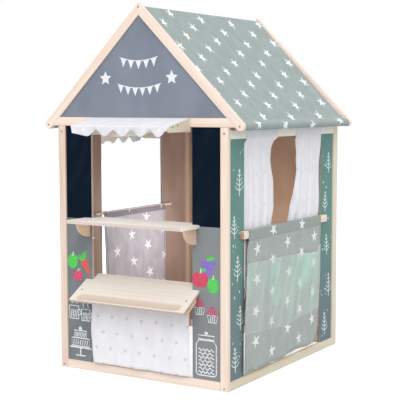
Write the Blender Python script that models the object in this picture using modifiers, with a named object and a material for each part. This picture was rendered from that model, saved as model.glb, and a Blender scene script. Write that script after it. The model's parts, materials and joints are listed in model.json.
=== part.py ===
"""Play shop and puppet theatre: a small wooden house frame with shelves, awnings, cloths and curtains.

Metres, X to the right, Y to the back, Z up. The shop front faces -Y. The origin is the middle of the
front bottom rail's underside. A cloth or a curtain has its origin on the line that it swings about or
on the rail that it slides along.
"""

import math

import bmesh
import bpy
from mathutils import Matrix, Vector

# House frame
FRAME_WIDTH = 0.750
FRAME_DEPTH = 0.910
POST_HEIGHT = 0.9345
BATTEN_WIDE = 0.032
BATTEN_THIN = 0.018
BACK_POST_DEPTH = 0.038
SIDE_RAIL_DROP = 0.0095
EDGE_EASE = 0.0018
GAP = 0.0003

# Roof
ROOF_PITCH = math.radians(45)
EAVE_REACH = 0.046
EAVE_RISE = 0.0032
ROOF_BAR_DIAMETER = 0.025
TONGUE_SETBACK = 0.006
RIDGE_BAR_DROP = 0.004
ROOF_CLOTH_SAG = 0.003
ROOF_POCKET = 0.028

# Wall panels and the openings between them
PANEL_THICKNESS = 0.0115
PANEL_EASE = 0.0008
FRONT_OPENING = 0.447
LEFT_FRONT_PANEL = 0.230
LEFT_OPENING = 0.440
RIGHT_FRONT_PANEL = 0.108
RIGHT_OPENING = 0.640

# Shelves
SHELF_WIDTH = 0.508
SHELF_THICKNESS = 0.012
SHELF_CORNER = 0.006
TONGUE_CLEARANCE = 0.002
UPPER_SHELF_HEIGHT = 0.588
UPPER_SHELF_REACH = 0.118
UPPER_TONGUE = 0.056
BRACKET_REACH = 0.076
BRACKET_HEIGHT = 0.059
BRACKET_THICKNESS = 0.012
BRACKET_CENTRE = 0.236
LOWER_SHELF_HEIGHT = 0.3535
LOWER_SHELF_SLOPE = math.radians(30)
LOWER_SHELF_REACH = 0.1245
LOWER_TONGUE = 0.040
CHEEK_THICKNESS = 0.012
CHEEK_DEPTH = 0.013
CHEEK_START = 0.030
CHEEK_END = 0.119
TROUGH_LENGTH = 0.462
TROUGH_WIDTH = 0.043
TROUGH_DEPTH = 0.007
TROUGH_SETBACK = 0.0035
SHELF_RAIL_LENGTH = 0.520

# Awnings
ARM_CENTRE = 0.2069
ARM_THICKNESS = 0.013
ARM_DEPTH = 0.047
ARM_SLOPE_RUN = 0.125
ARM_SLOPE_DROP = 0.0244
AWNING_TOP_INSET = 0.002
FRONT_AWNING_SHIFT = 0.0089
LEFT_AWNING_DROP = 0.015
LEFT_AWNING_SHIFT = 0.0865
SLAT_WIDTH = 0.056
SLAT_THICKNESS = 0.012
SLAT_REACH = 0.128
VALANCE_REACH = 0.138
VALANCE_NOSE = 0.005
VALANCE_TIP_DROP = 0.0635
VALANCE_ARCH_DROP = 0.040
VALANCE_END_DROP = 0.052
SCALLOP_PITCH = 0.0772
SCALLOP_PHASE = 0.0152

# Cloths, their bars and the curtains
CLOTH_THICKNESS = 0.0014
CLOTH_FOLD_DEPTH = 0.0035
CLOTH_FOLD_PITCH = 0.088
FRONT_ROD_DIAMETER = 0.010
FRONT_ROD_OUT = 0.0085
FRONT_ROD_DROP = 0.0105
FRONT_CLOTH_MARGIN = 0.033
FRONT_CLOTH_HEM_HEIGHT = 0.037
ROD_HOLDER_THICKNESS = 0.010
ROD_HOLDER_DEPTH = 0.020
LEFT_BAR_DIAMETER = 0.012
LEFT_BAR_HEIGHT = 0.577
LEFT_BAR_OVERLAP = 0.052
LEFT_CLOTH_WIDTH = 0.437
LEFT_CLOTH_FLARE = 0.035
LEFT_CLOTH_HEM_HEIGHT = 0.045
DOOR_BAR_WIDE = 0.028
DOOR_BAR_HEIGHT = 0.549
DOOR_BAR_FRONT_OVERLAP = 0.031
DOOR_BAR_BACK_OVERLAP = 0.020
DOOR_CLOTH_WIDTH = 0.606
DOOR_CLOTH_OVERLAP = 0.007
DOOR_SLEEVE_INSET = 0.001
DOOR_CLOTH_HEM_HEIGHT = 0.040
DOOR_CLOTH_CLEARANCE = 0.0009
DOOR_CLOTH_SETBACK = 0.004
POCKET_THICKNESS = 0.0008
POCKET_TOP_HEIGHT = 0.440
POCKET_BOTTOM_HEIGHT = 0.166
POCKET_FULLNESS = 0.008
FRONT_CURTAIN_WIDTHS = (0.251, 0.222, 0.243, 0.248, 0.228, 0.229, 0.235, 0.239, 0.241)
BACK_CURTAIN_WIDTHS = (0.222, 0.203, 0.208, 0.246, 0.276, 0.273, 0.263, 0.257, 0.253)
CURTAIN_INSET = 0.004
CURTAIN_HEM_HEIGHT = 0.250
CURTAIN_FOLD_DEPTH = 0.004
CURTAIN_FOLD_PITCH = 0.037
CURTAIN_PLANE_INSET = 0.0175

# Screw recesses
SCREW_DIAMETER = 0.0075
SCREW_DEPTH = 0.0016
SCREW_MARGIN = 0.022
APEX_SCREW_RISE = 0.005

# Derived places
HALF_WIDTH = FRAME_WIDTH / 2
FRONT = -BATTEN_THIN / 2
BACK = FRONT + FRAME_DEPTH
FRONT_INNER = FRONT + BATTEN_THIN
BACK_FRAME_INNER = BACK - BATTEN_THIN
BACK_POST_FACE = BACK - BACK_POST_DEPTH
PANEL_RECESS = BATTEN_THIN - PANEL_THICKNESS
FRONT_PANEL_FACE = FRONT + PANEL_RECESS
SIDE_PANEL_FACE = HALF_WIDTH - PANEL_RECESS
SIDE_INNER = HALF_WIDTH - BATTEN_THIN
POST_INNER = HALF_WIDTH - BATTEN_WIDE
BEAM_TOP = POST_HEIGHT + BATTEN_WIDE
SIDE_RAIL_TOP = POST_HEIGHT - SIDE_RAIL_DROP
SIDE_RAIL_BOTTOM = SIDE_RAIL_TOP - BATTEN_WIDE
EAVE_X = HALF_WIDTH + EAVE_REACH
EAVE_Z = POST_HEIGHT + EAVE_RISE
APEX_Z = EAVE_Z + EAVE_X * math.tan(ROOF_PITCH)
RAFTER_RISE = BATTEN_WIDE / 2 / math.cos(ROOF_PITCH)
GABLE_INNER_APEX = APEX_Z - RAFTER_RISE
LEFT_OPENING_FRONT = FRONT_INNER + LEFT_FRONT_PANEL
LEFT_OPENING_BACK = LEFT_OPENING_FRONT + LEFT_OPENING
LEFT_OPENING_MIDDLE = LEFT_OPENING_FRONT + LEFT_OPENING / 2
RIGHT_OPENING_FRONT = FRONT_INNER + RIGHT_FRONT_PANEL
RIGHT_OPENING_BACK = RIGHT_OPENING_FRONT + RIGHT_OPENING
TONGUE_HALF = FRONT_OPENING / 2 - TONGUE_CLEARANCE
TONGUE_END_X = EAVE_X - TONGUE_SETBACK
CLOTH_OFFSET = GAP + CLOTH_THICKNESS / 2

QUARTER_TURN = math.pi / 2
TOWARDS_FRONT = 0.0
TOWARDS_RIGHT = QUARTER_TURN
TOWARDS_LEFT = -QUARTER_TURN

COLOURS = {
    "pine": ((0.83, 0.66, 0.52), 0.55),
    "birch": ((0.87, 0.79, 0.66), 0.50),
    "blackboard": ((0.02, 0.03, 0.05), 0.85),
    "grey_panel": ((0.24, 0.28, 0.32), 0.70),
    "teal_panel": ((0.17, 0.31, 0.29), 0.65),
    "brown_board": ((0.22, 0.14, 0.11), 0.80),
    "roof_cloth": ((0.37, 0.45, 0.42), 0.85),
    "white_cloth": ((0.80, 0.81, 0.83), 0.88),
    "grey_cloth": ((0.38, 0.40, 0.40), 0.88),
    "organza": ((0.55, 0.72, 0.68), 0.60),
}


def clear_scene():
    for item in list(bpy.data.objects):
        bpy.data.objects.remove(item, do_unlink=True)


def make_collection(name):
    group = bpy.data.collections.new(name)
    bpy.context.scene.collection.children.link(group)
    return group


def finish(name):
    """The named material, made once."""
    made = bpy.data.materials.get(name)
    if made:
        return made
    colour, roughness = COLOURS[name]
    made = bpy.data.materials.new(name)
    made.use_nodes = True
    shader = made.node_tree.nodes["Principled BSDF"]
    shader.inputs["Base Color"].default_value = (*colour, 1.0)
    shader.inputs["Roughness"].default_value = roughness
    shader.inputs["Metallic"].default_value = 0.0
    return made


def add(name, mesh, material, location=(0.0, 0.0, 0.0), turn=(0.0, 0.0, 0.0)):
    piece = bpy.data.objects.new(name, mesh)
    PARTS.objects.link(piece)
    piece.location = location
    piece.rotation_euler = turn
    mesh.materials.clear()
    mesh.materials.append(finish(material))
    return piece


def ease_edges(piece, width):
    bevel = piece.modifiers.new("eased_edges", "BEVEL")
    bevel.width = width
    bevel.segments = 1
    bevel.limit_method = "ANGLE"
    bevel.angle_limit = math.radians(40)


def ordered(first, second):
    return (first, second) if first < second else (second, first)


def block_mesh(name, size):
    mesh = bpy.data.meshes.new(name)
    shape = bmesh.new()
    bmesh.ops.create_cube(shape, size=1.0)
    bmesh.ops.scale(shape, vec=Vector(size), verts=shape.verts)
    shape.to_mesh(mesh)
    shape.free()
    return mesh


def block(name, x, y, z, material, ease=EDGE_EASE):
    """A straight batten or board between two limits on each axis, with its edges eased."""
    limits = [ordered(*pair) for pair in (x, y, z)]
    size = [high - low for low, high in limits]
    middle = [(high + low) / 2 for low, high in limits]
    piece = add(name, block_mesh(name, size), material, middle)
    ease_edges(piece, ease)
    return piece


def plate(name, outline, thickness, material, location, turn, ease):
    """A flat piece: its outline in its own XY plane, its thickness centred on that plane."""
    curve = bpy.data.curves.new(name, "CURVE")
    curve.dimensions = "2D"
    curve.fill_mode = "BOTH"
    curve.extrude = thickness / 2
    spline = curve.splines.new("POLY")
    spline.points.add(len(outline) - 1)
    for point, (across, up) in zip(spline.points, outline):
        point.co = (across, up, 0.0, 1.0)
    spline.use_cyclic_u = True
    drawn = bpy.data.objects.new(name + "_outline", curve)
    PARTS.objects.link(drawn)
    graph = bpy.context.evaluated_depsgraph_get()
    mesh = bpy.data.meshes.new_from_object(drawn.evaluated_get(graph))
    bpy.data.objects.remove(drawn, do_unlink=True)
    shape = bmesh.new()
    shape.from_mesh(mesh)
    bmesh.ops.remove_doubles(shape, verts=shape.verts, dist=1e-6)
    bmesh.ops.recalc_face_normals(shape, faces=shape.faces)
    shape.to_mesh(mesh)
    shape.free()
    mesh.name = name
    mesh.shade_smooth()
    mesh.set_sharp_from_angle(angle=math.radians(40))
    for face in mesh.polygons:
        face.use_smooth = abs(face.normal.z) < 0.5
    piece = add(name, mesh, material, location, turn)
    if ease:
        ease_edges(piece, ease)
    return piece


def dowel(name, start, end, diameter, material, sides=24):
    """A round bar from one point to another."""
    start, end = Vector(start), Vector(end)
    along = end - start
    mesh = bpy.data.meshes.new(name)
    shape = bmesh.new()
    bmesh.ops.create_cone(
        shape, cap_ends=True, segments=sides, radius1=diameter / 2, radius2=diameter / 2, depth=along.length
    )
    shape.to_mesh(mesh)
    shape.free()
    mesh.shade_smooth()
    mesh.set_sharp_from_angle(angle=math.radians(40))
    turn = along.to_track_quat("Z", "Y").to_euler()
    return add(name, mesh, material, (start + end) / 2, turn)


def sheet(name, rows, thickness, material, location, facing):
    """A cloth: an open grid of points given row by row, thickened about its middle surface."""
    columns = len(rows[0])
    mesh = bpy.data.meshes.new(name)
    shape = bmesh.new()
    bmesh.ops.create_grid(shape, x_segments=columns - 1, y_segments=len(rows) - 1, size=1.0)
    shape.verts.ensure_lookup_table()
    flat = [point for row in rows for point in row]
    for vertex, point in zip(shape.verts, flat):
        vertex.co = point
    shape.to_mesh(mesh)
    shape.free()
    mesh.shade_smooth()
    piece = add(name, mesh, material, location, (0.0, 0.0, facing))
    solid = piece.modifiers.new("cloth_thickness", "SOLIDIFY")
    solid.thickness = thickness
    solid.offset = 0.0
    return piece


def cut(piece, cutter):
    """Takes the cutter's volume out of the piece, and keeps the cutter as a wire guide."""
    for group in cutter.users_collection:
        group.objects.unlink(cutter)
    CUTTERS.objects.link(cutter)
    cutter.hide_render = True
    cutter.display_type = "WIRE"
    cutter.modifiers.clear()
    boolean = piece.modifiers.new(cutter.name, "BOOLEAN")
    boolean.operation = "DIFFERENCE"
    boolean.solver = "EXACT"
    boolean.object = cutter


def cut_block(piece, label, x, y, z):
    cut(piece, block(piece.name + label, x, y, z, "pine"))


def screw_recess(piece, label, point, outward):
    """A round recess for one screw head, sunk from a surface point against the outward direction."""
    point, outward = Vector(point), Vector(outward).normalized()
    cutter = dowel(
        piece.name + label,
        point - outward * SCREW_DEPTH,
        point + outward * SCREW_DEPTH,
        SCREW_DIAMETER,
        "pine",
        sides=12,
    )
    cut(piece, cutter)


def arc(centre, radius, start, end, steps):
    """Points on a round arc, in degrees, from start to end."""
    points = []
    for step in range(steps + 1):
        angle = math.radians(start + (end - start) * step / steps)
        points.append((centre[0] + radius * math.cos(angle), centre[1] + radius * math.sin(angle)))
    return points


def steps_between(low, high, count):
    return [low + (high - low) * step / count for step in range(count + 1)]


def posts():
    for side, label in ((-1, "left"), (1, "right")):
        x = (side * POST_INNER, side * HALF_WIDTH)
        front = block(f"front_post_{label}", x, (FRONT, FRONT_INNER), (0.0, POST_HEIGHT - GAP), "pine")
        block(f"back_post_{label}", x, (BACK_POST_FACE, BACK), (0.0, POST_HEIGHT - GAP), "pine")
        middle = side * (POST_INNER + HALF_WIDTH) / 2
        for end, height in (("_top_screw", POST_HEIGHT - SCREW_MARGIN), ("_foot_screw", SCREW_MARGIN / 2)):
            screw_recess(front, end, (middle, FRONT, height), (0, -1, 0))


def bottom_rails():
    between = (-POST_INNER + GAP, POST_INNER - GAP)
    block("front_bottom_rail", between, (FRONT, FRONT_INNER), (0.0, BATTEN_WIDE), "pine")
    block("back_bottom_rail", between, (BACK_FRAME_INNER, BACK), (0.0, BATTEN_WIDE), "pine")


def side_rails():
    along = (FRONT_INNER + GAP, BACK_POST_FACE - GAP)
    for side, label in ((-1, "left"), (1, "right")):
        x = (side * SIDE_INNER, side * HALF_WIDTH)
        block(f"{label}_bottom_rail", x, along, (0.0, BATTEN_WIDE), "pine")
        block(f"{label}_top_rail", x, along, (SIDE_RAIL_BOTTOM, SIDE_RAIL_TOP), "pine")


def rafter_outline(side):
    """A sloping batten with a mitred apex end and a round eave end, in X and Z."""
    pitch = math.degrees(ROOF_PITCH)
    top = [(GAP / 2, GABLE_INNER_APEX), (GAP / 2, APEX_Z + RAFTER_RISE)]
    end = arc((EAVE_X, EAVE_Z), BATTEN_WIDE / 2, 90 - pitch, -90 - pitch, 12)
    return [(side * across, up) for across, up in top + end]


def inner_slope_x(height):
    """Where the rafter's inner edge is at this height."""
    return (GABLE_INNER_APEX - height) / math.tan(ROOF_PITCH)


def gable_frame(label, outer, outward):
    """A tie beam half-lapped into two rafters. The laps hide behind the rafters' outer halves."""
    lap = outer - outward * BATTEN_THIN / 2
    inner = outer - outward * BATTEN_THIN
    upright = (QUARTER_TURN, 0.0, 0.0)
    beam = block(
        f"{label}_tie_beam", (-TONGUE_END_X, TONGUE_END_X), (outer, inner), (POST_HEIGHT, BEAM_TOP), "pine"
    )
    for side, name in ((-1, "left"), (1, "right")):
        rafter = plate(
            f"{label}_rafter_{name}",
            rafter_outline(side),
            BATTEN_THIN,
            "pine",
            (0.0, (outer + inner) / 2, 0.0),
            upright,
            EDGE_EASE,
        )
        cut_block(
            rafter,
            "_lap",
            (side * inner_slope_x(BEAM_TOP) / 2, side * (TONGUE_END_X + GAP)),
            (lap + outward * GAP / 2, inner - outward * BATTEN_THIN),
            (POST_HEIGHT - GAP, BEAM_TOP + GAP),
        )
        low, high = POST_HEIGHT - BATTEN_WIDE, BEAM_TOP + BATTEN_WIDE
        beyond = TONGUE_END_X + BATTEN_WIDE
        shoulder = [
            (inner_slope_x(high) - GAP, high),
            (inner_slope_x(low) - GAP, low),
            (inner_slope_x(low) + beyond, low),
            (inner_slope_x(low) + beyond, high),
        ]
        cutter = plate(
            f"{beam.name}_shoulder_{name}",
            [(side * across, up) for across, up in shoulder],
            BATTEN_THIN,
            "pine",
            (0.0, lap - outward * GAP / 2 + outward * BATTEN_THIN / 2, 0.0),
            upright,
            0,
        )
        cut(beam, cutter)
        screw_recess(rafter, "_eave_screw", (side * EAVE_X, outer, EAVE_Z), (0, outward, 0))
        screw_recess(rafter, "_apex_screw", (0.0, outer, APEX_Z + APEX_SCREW_RISE), (0, outward, 0))


def gable_panel(label, inner, outward):
    """The triangle that fills the gable, flush with the frame's inner side."""
    base = BEAM_TOP + GAP
    slack = GAP / math.cos(ROOF_PITCH)
    corner = (GABLE_INNER_APEX - slack - base) / math.tan(ROOF_PITCH)
    outline = [(-corner, base), (corner, base), (0.0, GABLE_INNER_APEX - slack)]
    middle = inner + outward * PANEL_THICKNESS / 2
    plate(
        f"{label}_gable_panel",
        outline,
        PANEL_THICKNESS,
        "grey_panel",
        (0.0, middle, 0.0),
        (QUARTER_TURN, 0.0, 0.0),
        PANEL_EASE,
    )


def roof_bars():
    ends = (FRONT_INNER + GAP, BACK_FRAME_INNER - GAP)
    ridge_z = APEX_Z - RIDGE_BAR_DROP
    places = (("ridge_bar", 0.0, ridge_z), ("left_eave_bar", -EAVE_X, EAVE_Z), ("right_eave_bar", EAVE_X, EAVE_Z))
    for name, x, z in places:
        dowel(name, (x, ends[0], z), (x, ends[1], z), ROOF_BAR_DIAMETER, "pine")


def roof_section():
    """The right half of the roof cloth in X and Z: a rod pocket round the eave bar, the slope and the ridge."""
    radius = ROOF_BAR_DIAMETER / 2 + CLOTH_OFFSET
    slope_in = Vector((-math.cos(ROOF_PITCH), math.sin(ROOF_PITCH)))
    outward = Vector((math.sin(ROOF_PITCH), math.cos(ROOF_PITCH)))
    eave = Vector((EAVE_X, EAVE_Z))
    ply = (CLOTH_THICKNESS + 2 * GAP) / 2
    leaves = math.degrees(math.acos(radius / ROOF_POCKET))
    up_slope = 180 - math.degrees(ROOF_PITCH)
    pocket = arc(tuple(eave), radius, up_slope + leaves - 360, up_slope - leaves, 12)
    under_seam = eave + slope_in * ROOF_POCKET - outward * ply
    seam = eave + slope_in * ROOF_POCKET + outward * ply
    ridge_centre = Vector((0.0, APEX_Z - RIDGE_BAR_DROP))
    away = seam - ridge_centre
    bearing = math.atan2(away.y, away.x) + math.acos(radius / away.length)
    ridge = arc(tuple(ridge_centre), radius, math.degrees(bearing), 90, 3)
    slope = []
    for share in steps_between(0.0, 1.0, 8)[1:-1]:
        sag = ROOF_CLOTH_SAG * 4 * share * (1 - share)
        slope.append(tuple(seam.lerp(Vector(ridge[0]), share) - outward * sag))
    return [tuple(under_seam)] + pocket + [tuple(seam)] + slope + ridge


def roof_cover():
    right = roof_section()
    section = right + [(-across, up) for across, up in reversed(right[:-1])]
    stations = steps_between(FRONT_INNER + CLOTH_OFFSET, BACK_FRAME_INNER - CLOTH_OFFSET, 6)
    rows = [[Vector((across, y, up)) for y in stations] for across, up in section]
    sheet("roof_cover", rows, CLOTH_THICKNESS, "roof_cloth", (0.0, 0.0, 0.0), 0.0)


def front_panels():
    y = (FRONT_PANEL_FACE, FRONT_INNER)
    z = (BATTEN_WIDE + GAP, POST_HEIGHT - GAP)
    for side, label in ((-1, "left"), (1, "right")):
        x = (side * FRONT_OPENING / 2, side * (POST_INNER - GAP))
        block(f"front_panel_{label}", x, y, z, "blackboard", PANEL_EASE)


def side_panels():
    z = (BATTEN_WIDE + GAP, SIDE_RAIL_BOTTOM - GAP)
    ends = (FRONT_INNER + GAP, BACK_POST_FACE - GAP)
    for side, label, opening in (
        (-1, "left", (LEFT_OPENING_FRONT, LEFT_OPENING_BACK)),
        (1, "right", (RIGHT_OPENING_FRONT, RIGHT_OPENING_BACK)),
    ):
        x = (side * SIDE_INNER, side * SIDE_PANEL_FACE)
        block(f"{label}_panel_front", x, (ends[0], opening[0]), z, "teal_panel", PANEL_EASE)
        block(f"{label}_panel_back", x, (opening[1], ends[1]), z, "teal_panel", PANEL_EASE)


def back_wall():
    x = (-POST_INNER + GAP, POST_INNER - GAP)
    y = (BACK_FRAME_INNER, BACK_FRAME_INNER + PANEL_THICKNESS)
    block("back_wall_panel", x, y, (BATTEN_WIDE + GAP, POST_HEIGHT - GAP), "brown_board", PANEL_EASE)


def rounded_rectangle(half, back, front, radius, steps=4):
    """A rectangle whose two corners at the front end are rounded."""
    right = arc((half - radius, front + radius), radius, 0, -90, steps)
    left = arc((-half + radius, front + radius), radius, -90, -180, steps)
    return [(-half, back), (half, back)] + right + left


def upper_shelf():
    """A level board whose tongue passes through the window, on two quarter-round brackets."""
    back = FRONT_PANEL_FACE - GAP
    front = FRONT_PANEL_FACE - UPPER_SHELF_REACH
    tongue_back = FRONT_PANEL_FACE + UPPER_TONGUE
    half = SHELF_WIDTH / 2
    outer = rounded_rectangle(half, back, front, SHELF_CORNER)
    inner_corners = (
        arc((-TONGUE_HALF + SHELF_CORNER, tongue_back - SHELF_CORNER), SHELF_CORNER, 180, 90, 4)
        + arc((TONGUE_HALF - SHELF_CORNER, tongue_back - SHELF_CORNER), SHELF_CORNER, 90, 0, 4)
    )
    outline = [(-TONGUE_HALF, back)] + inner_corners + [(TONGUE_HALF, back)] + outer[1:] + outer[:1]
    middle = UPPER_SHELF_HEIGHT - SHELF_THICKNESS / 2
    plate("upper_shelf", outline, SHELF_THICKNESS, "birch", (0.0, 0.0, middle), (0.0, 0.0, 0.0), EDGE_EASE)
    curve = [(BRACKET_REACH * math.cos(a), -BRACKET_HEIGHT * math.sin(a)) for a in steps_between(0, QUARTER_TURN, 10)]
    quarter = [(0.0, 0.0)] + [(-across, up) for across, up in curve]
    underside = UPPER_SHELF_HEIGHT - SHELF_THICKNESS - GAP
    for side, label in ((-1, "left"), (1, "right")):
        plate(
            f"upper_bracket_{label}",
            quarter,
            BRACKET_THICKNESS,
            "birch",
            (side * BRACKET_CENTRE, back, underside),
            (QUARTER_TURN, 0.0, QUARTER_TURN),
            EDGE_EASE,
        )


def lower_shelf_top(y):
    """The sloping shelf's top height at this Y."""
    return LOWER_SHELF_HEIGHT + (y - FRONT_PANEL_FACE) * math.tan(LOWER_SHELF_SLOPE)


def lower_shelf():
    """A board that slopes down outwards, with a stopped trough along its front, notched round the panels."""
    section = [
        (LOWER_TONGUE, 0.0),
        (-LOWER_SHELF_REACH, 0.0),
        (-LOWER_SHELF_REACH, -SHELF_THICKNESS),
        (LOWER_TONGUE, -SHELF_THICKNESS),
    ]
    place = Vector((0.0, FRONT_PANEL_FACE, LOWER_SHELF_HEIGHT))
    tilt = Matrix.Rotation(LOWER_SHELF_SLOPE, 4, "X")
    upright = Matrix.Rotation(QUARTER_TURN, 4, "Z") @ Matrix.Rotation(QUARTER_TURN, 4, "X")
    turn = (tilt @ upright).to_euler()
    shelf = plate("lower_shelf", section, SHELF_WIDTH, "birch", place, turn, EDGE_EASE)
    for side, label in ((-1, "left"), (1, "right")):
        cut_block(
            shelf,
            f"_notch_{label}",
            (side * TONGUE_HALF, side * SHELF_WIDTH),
            (FRONT_PANEL_FACE - GAP, FRONT_PANEL_FACE + FRONT_OPENING),
            (0.0, POST_HEIGHT),
        )
    radius = (TROUGH_WIDTH**2 / 4 + TROUGH_DEPTH**2) / (2 * TROUGH_DEPTH)
    trough = bpy.data.meshes.new("lower_shelf_trough")
    shape = bmesh.new()
    bmesh.ops.create_uvsphere(shape, u_segments=72, v_segments=31, radius=radius)
    bmesh.ops.rotate(shape, verts=shape.verts, matrix=Matrix.Rotation(QUARTER_TURN, 3, "Y"))
    for vertex in shape.verts:
        vertex.co.x += math.copysign((TROUGH_LENGTH - TROUGH_WIDTH) / 2, vertex.co.x)
    shape.to_mesh(trough)
    shape.free()
    trough.shade_smooth()
    centre = Vector((0.0, -LOWER_SHELF_REACH + TROUGH_SETBACK + TROUGH_WIDTH / 2, radius - TROUGH_DEPTH))
    cutter = add("lower_shelf_trough", trough, "birch", place + tilt @ centre, (LOWER_SHELF_SLOPE, 0.0, 0.0))
    cut(shelf, cutter)
    for side, label in ((-1, "_left_screw"), (1, "_right_screw")):
        spot = place + tilt @ Vector((side * (SHELF_WIDTH / 2 - SCREW_MARGIN), -LOWER_SHELF_REACH / 2, 0.0))
        screw_recess(shelf, label, spot, tilt @ Vector((0.0, 0.0, 1.0)))
    low = -SHELF_THICKNESS - GAP
    round_end = CHEEK_DEPTH * 0.95
    cheek = [(-CHEEK_START, low), (-CHEEK_END, low)]
    cheek += arc((-CHEEK_END + round_end, low - CHEEK_DEPTH + round_end), round_end, 180, 270, 5)
    cheek += [(-CHEEK_START - CHEEK_DEPTH, low - CHEEK_DEPTH)]
    for side, label in ((-1, "left"), (1, "right")):
        spot = place + Vector((side * (SHELF_WIDTH / 2 - CHEEK_THICKNESS / 2), 0.0, 0.0))
        plate(f"lower_shelf_cheek_{label}", cheek, CHEEK_THICKNESS, "birch", spot, turn, EDGE_EASE)
    drop = SHELF_THICKNESS / math.cos(LOWER_SHELF_SLOPE)
    rail_front = FRONT_INNER + GAP
    rail_top = lower_shelf_top(rail_front) - drop - GAP
    block(
        "lower_shelf_rail",
        (-SHELF_RAIL_LENGTH / 2, SHELF_RAIL_LENGTH / 2),
        (rail_front, rail_front + BATTEN_THIN),
        (rail_top - BATTEN_WIDE, rail_top),
        "pine",
    )


def mount(name, location, facing):
    """An empty whose -Y side faces outwards, for the pieces of one awning."""
    empty = bpy.data.objects.new(name, None)
    PARTS.objects.link(empty)
    empty.location = location
    empty.rotation_euler = (0.0, 0.0, facing)
    return empty


def awning_profile():
    """The arm's outline in Y and Z: a top edge that falls outwards, a round tip and a level underside."""
    radius = (ARM_DEPTH - ARM_SLOPE_DROP) / 2
    fall = math.degrees(math.atan2(ARM_SLOPE_DROP, ARM_SLOPE_RUN))
    tip = arc((-ARM_SLOPE_RUN, -ARM_SLOPE_DROP - radius), radius, 90 + fall, 270, 8)
    return [(-GAP, -ARM_DEPTH), (-GAP, 0.0)] + tip


def scallop_hem(across):
    """How far below the awning's top the valance ends: round scallops, and a slack end after the last one."""
    last_tip = SCALLOP_PHASE - 2 * SCALLOP_PITCH
    if across < last_tip:
        share = (last_tip - across) / (last_tip + ARM_CENTRE + ARM_THICKNESS / 2)
        return VALANCE_TIP_DROP + (VALANCE_END_DROP - VALANCE_TIP_DROP) * share
    wave = 0.5 + 0.5 * math.cos(2 * math.pi * (across - SCALLOP_PHASE) / SCALLOP_PITCH)
    return VALANCE_ARCH_DROP + (VALANCE_TIP_DROP - VALANCE_ARCH_DROP) * wave


def awning_cloth_rows():
    """The cloth lies on both arms and the slat, and turns down in front of the arms' tips."""
    fall = math.atan2(ARM_SLOPE_DROP, ARM_SLOPE_RUN)
    wide = ARM_CENTRE + ARM_THICKNESS / 2
    nose_y = -VALANCE_REACH + VALANCE_NOSE
    nose_centre = (nose_y, CLOTH_OFFSET + nose_y * -math.tan(-fall) - VALANCE_NOSE / math.cos(fall))
    nose = arc(nose_centre, VALANCE_NOSE, 90 + math.degrees(fall), 180, 3)
    root = Vector((-CLOTH_OFFSET, CLOTH_OFFSET / math.cos(fall)))
    stations = steps_between(-wide, wide, 44)
    rows = []
    for share in (0.0, 0.31, 0.62, 1.0):
        y, z = root.lerp(Vector(nose[0]), share)
        rows.append([Vector((x, y, z)) for x in stations])
    for y, z in nose[1:]:
        rows.append([Vector((x, y, z)) for x in stations])
    hang_y, hang_z = nose[-1]
    for share in (0.34, 0.67, 1.0):
        rows.append([Vector((x, hang_y, hang_z + (-scallop_hem(x) - hang_z) * share)) for x in stations])
    return rows


def awning(label, location, facing, ends):
    """Two shaped arms, a slat between them and a cloth with a scalloped valance."""
    holder = mount(f"{label}_awning_mount", location, facing)
    fall = math.atan2(ARM_SLOPE_DROP, ARM_SLOPE_RUN)
    arms = []
    for side, name in zip((-1, 1), ends):
        arm = plate(
            f"{label}_awning_arm_{name}",
            awning_profile(),
            ARM_THICKNESS,
            "pine",
            (side * ARM_CENTRE, 0.0, 0.0),
            (QUARTER_TURN, 0.0, QUARTER_TURN),
            EDGE_EASE,
        )
        arms.append((arm, side))
    inner = ARM_CENTRE - ARM_THICKNESS / 2 - GAP
    slat = add(f"{label}_awning_slat", block_mesh(f"{label}_slat", (2 * inner, SLAT_WIDTH, SLAT_THICKNESS)), "pine")
    ease_edges(slat, EDGE_EASE)
    down = Vector((0.0, -math.cos(fall), -math.sin(fall)))
    under = Vector((0.0, math.sin(fall), -math.cos(fall)))
    slat_run = SLAT_REACH / math.cos(fall) - SLAT_WIDTH / 2
    slat.location = down * slat_run + under * SLAT_THICKNESS / 2
    slat.rotation_euler = (fall, 0.0, 0.0)
    cloth = sheet(f"{label}_awning_cloth", awning_cloth_rows(), CLOTH_THICKNESS, "white_cloth", (0, 0, 0), 0.0)
    for piece in [arm for arm, _ in arms] + [slat, cloth]:
        piece.parent = holder
    bpy.context.view_layer.update()
    for arm, side in arms:
        for label_end, back in (("_screw_outer", 0.3 * SLAT_WIDTH), ("_screw_inner", -0.3 * SLAT_WIDTH)):
            spot = Vector((side * (ARM_CENTRE + ARM_THICKNESS / 2), 0.0, 0.0))
            spot += down * (slat_run + back) + under * SLAT_THICKNESS / 2
            outward = holder.matrix_world.to_3x3() @ Vector((side, 0.0, 0.0))
            screw_recess(arm, label_end, holder.matrix_world @ spot, outward)


def fold(across, width, pitch):
    """The wave of a hanging cloth's folds, which starts and ends level at its sides."""
    count = max(1, round(width / pitch))
    return math.sin(2 * math.pi * count * (across / width + 0.5))


def hanging_rows(width, drop, plane, depth, pitch, columns, levels, flare=-0.02):
    """Rows of a cloth from its top line downwards, flat at the top and folded below."""
    stations = steps_between(-width / 2, width / 2, columns)
    rows = []
    for share in steps_between(0.0, 1.0, levels):
        swell = depth * math.sin(QUARTER_TURN * min(1.0, share * 1.6))
        spread = 1.0 + flare * share
        rows.append(
            [Vector((x * spread, -plane - swell * fold(x, width, pitch), -drop * share)) for x in stations]
        )
    return rows


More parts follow.
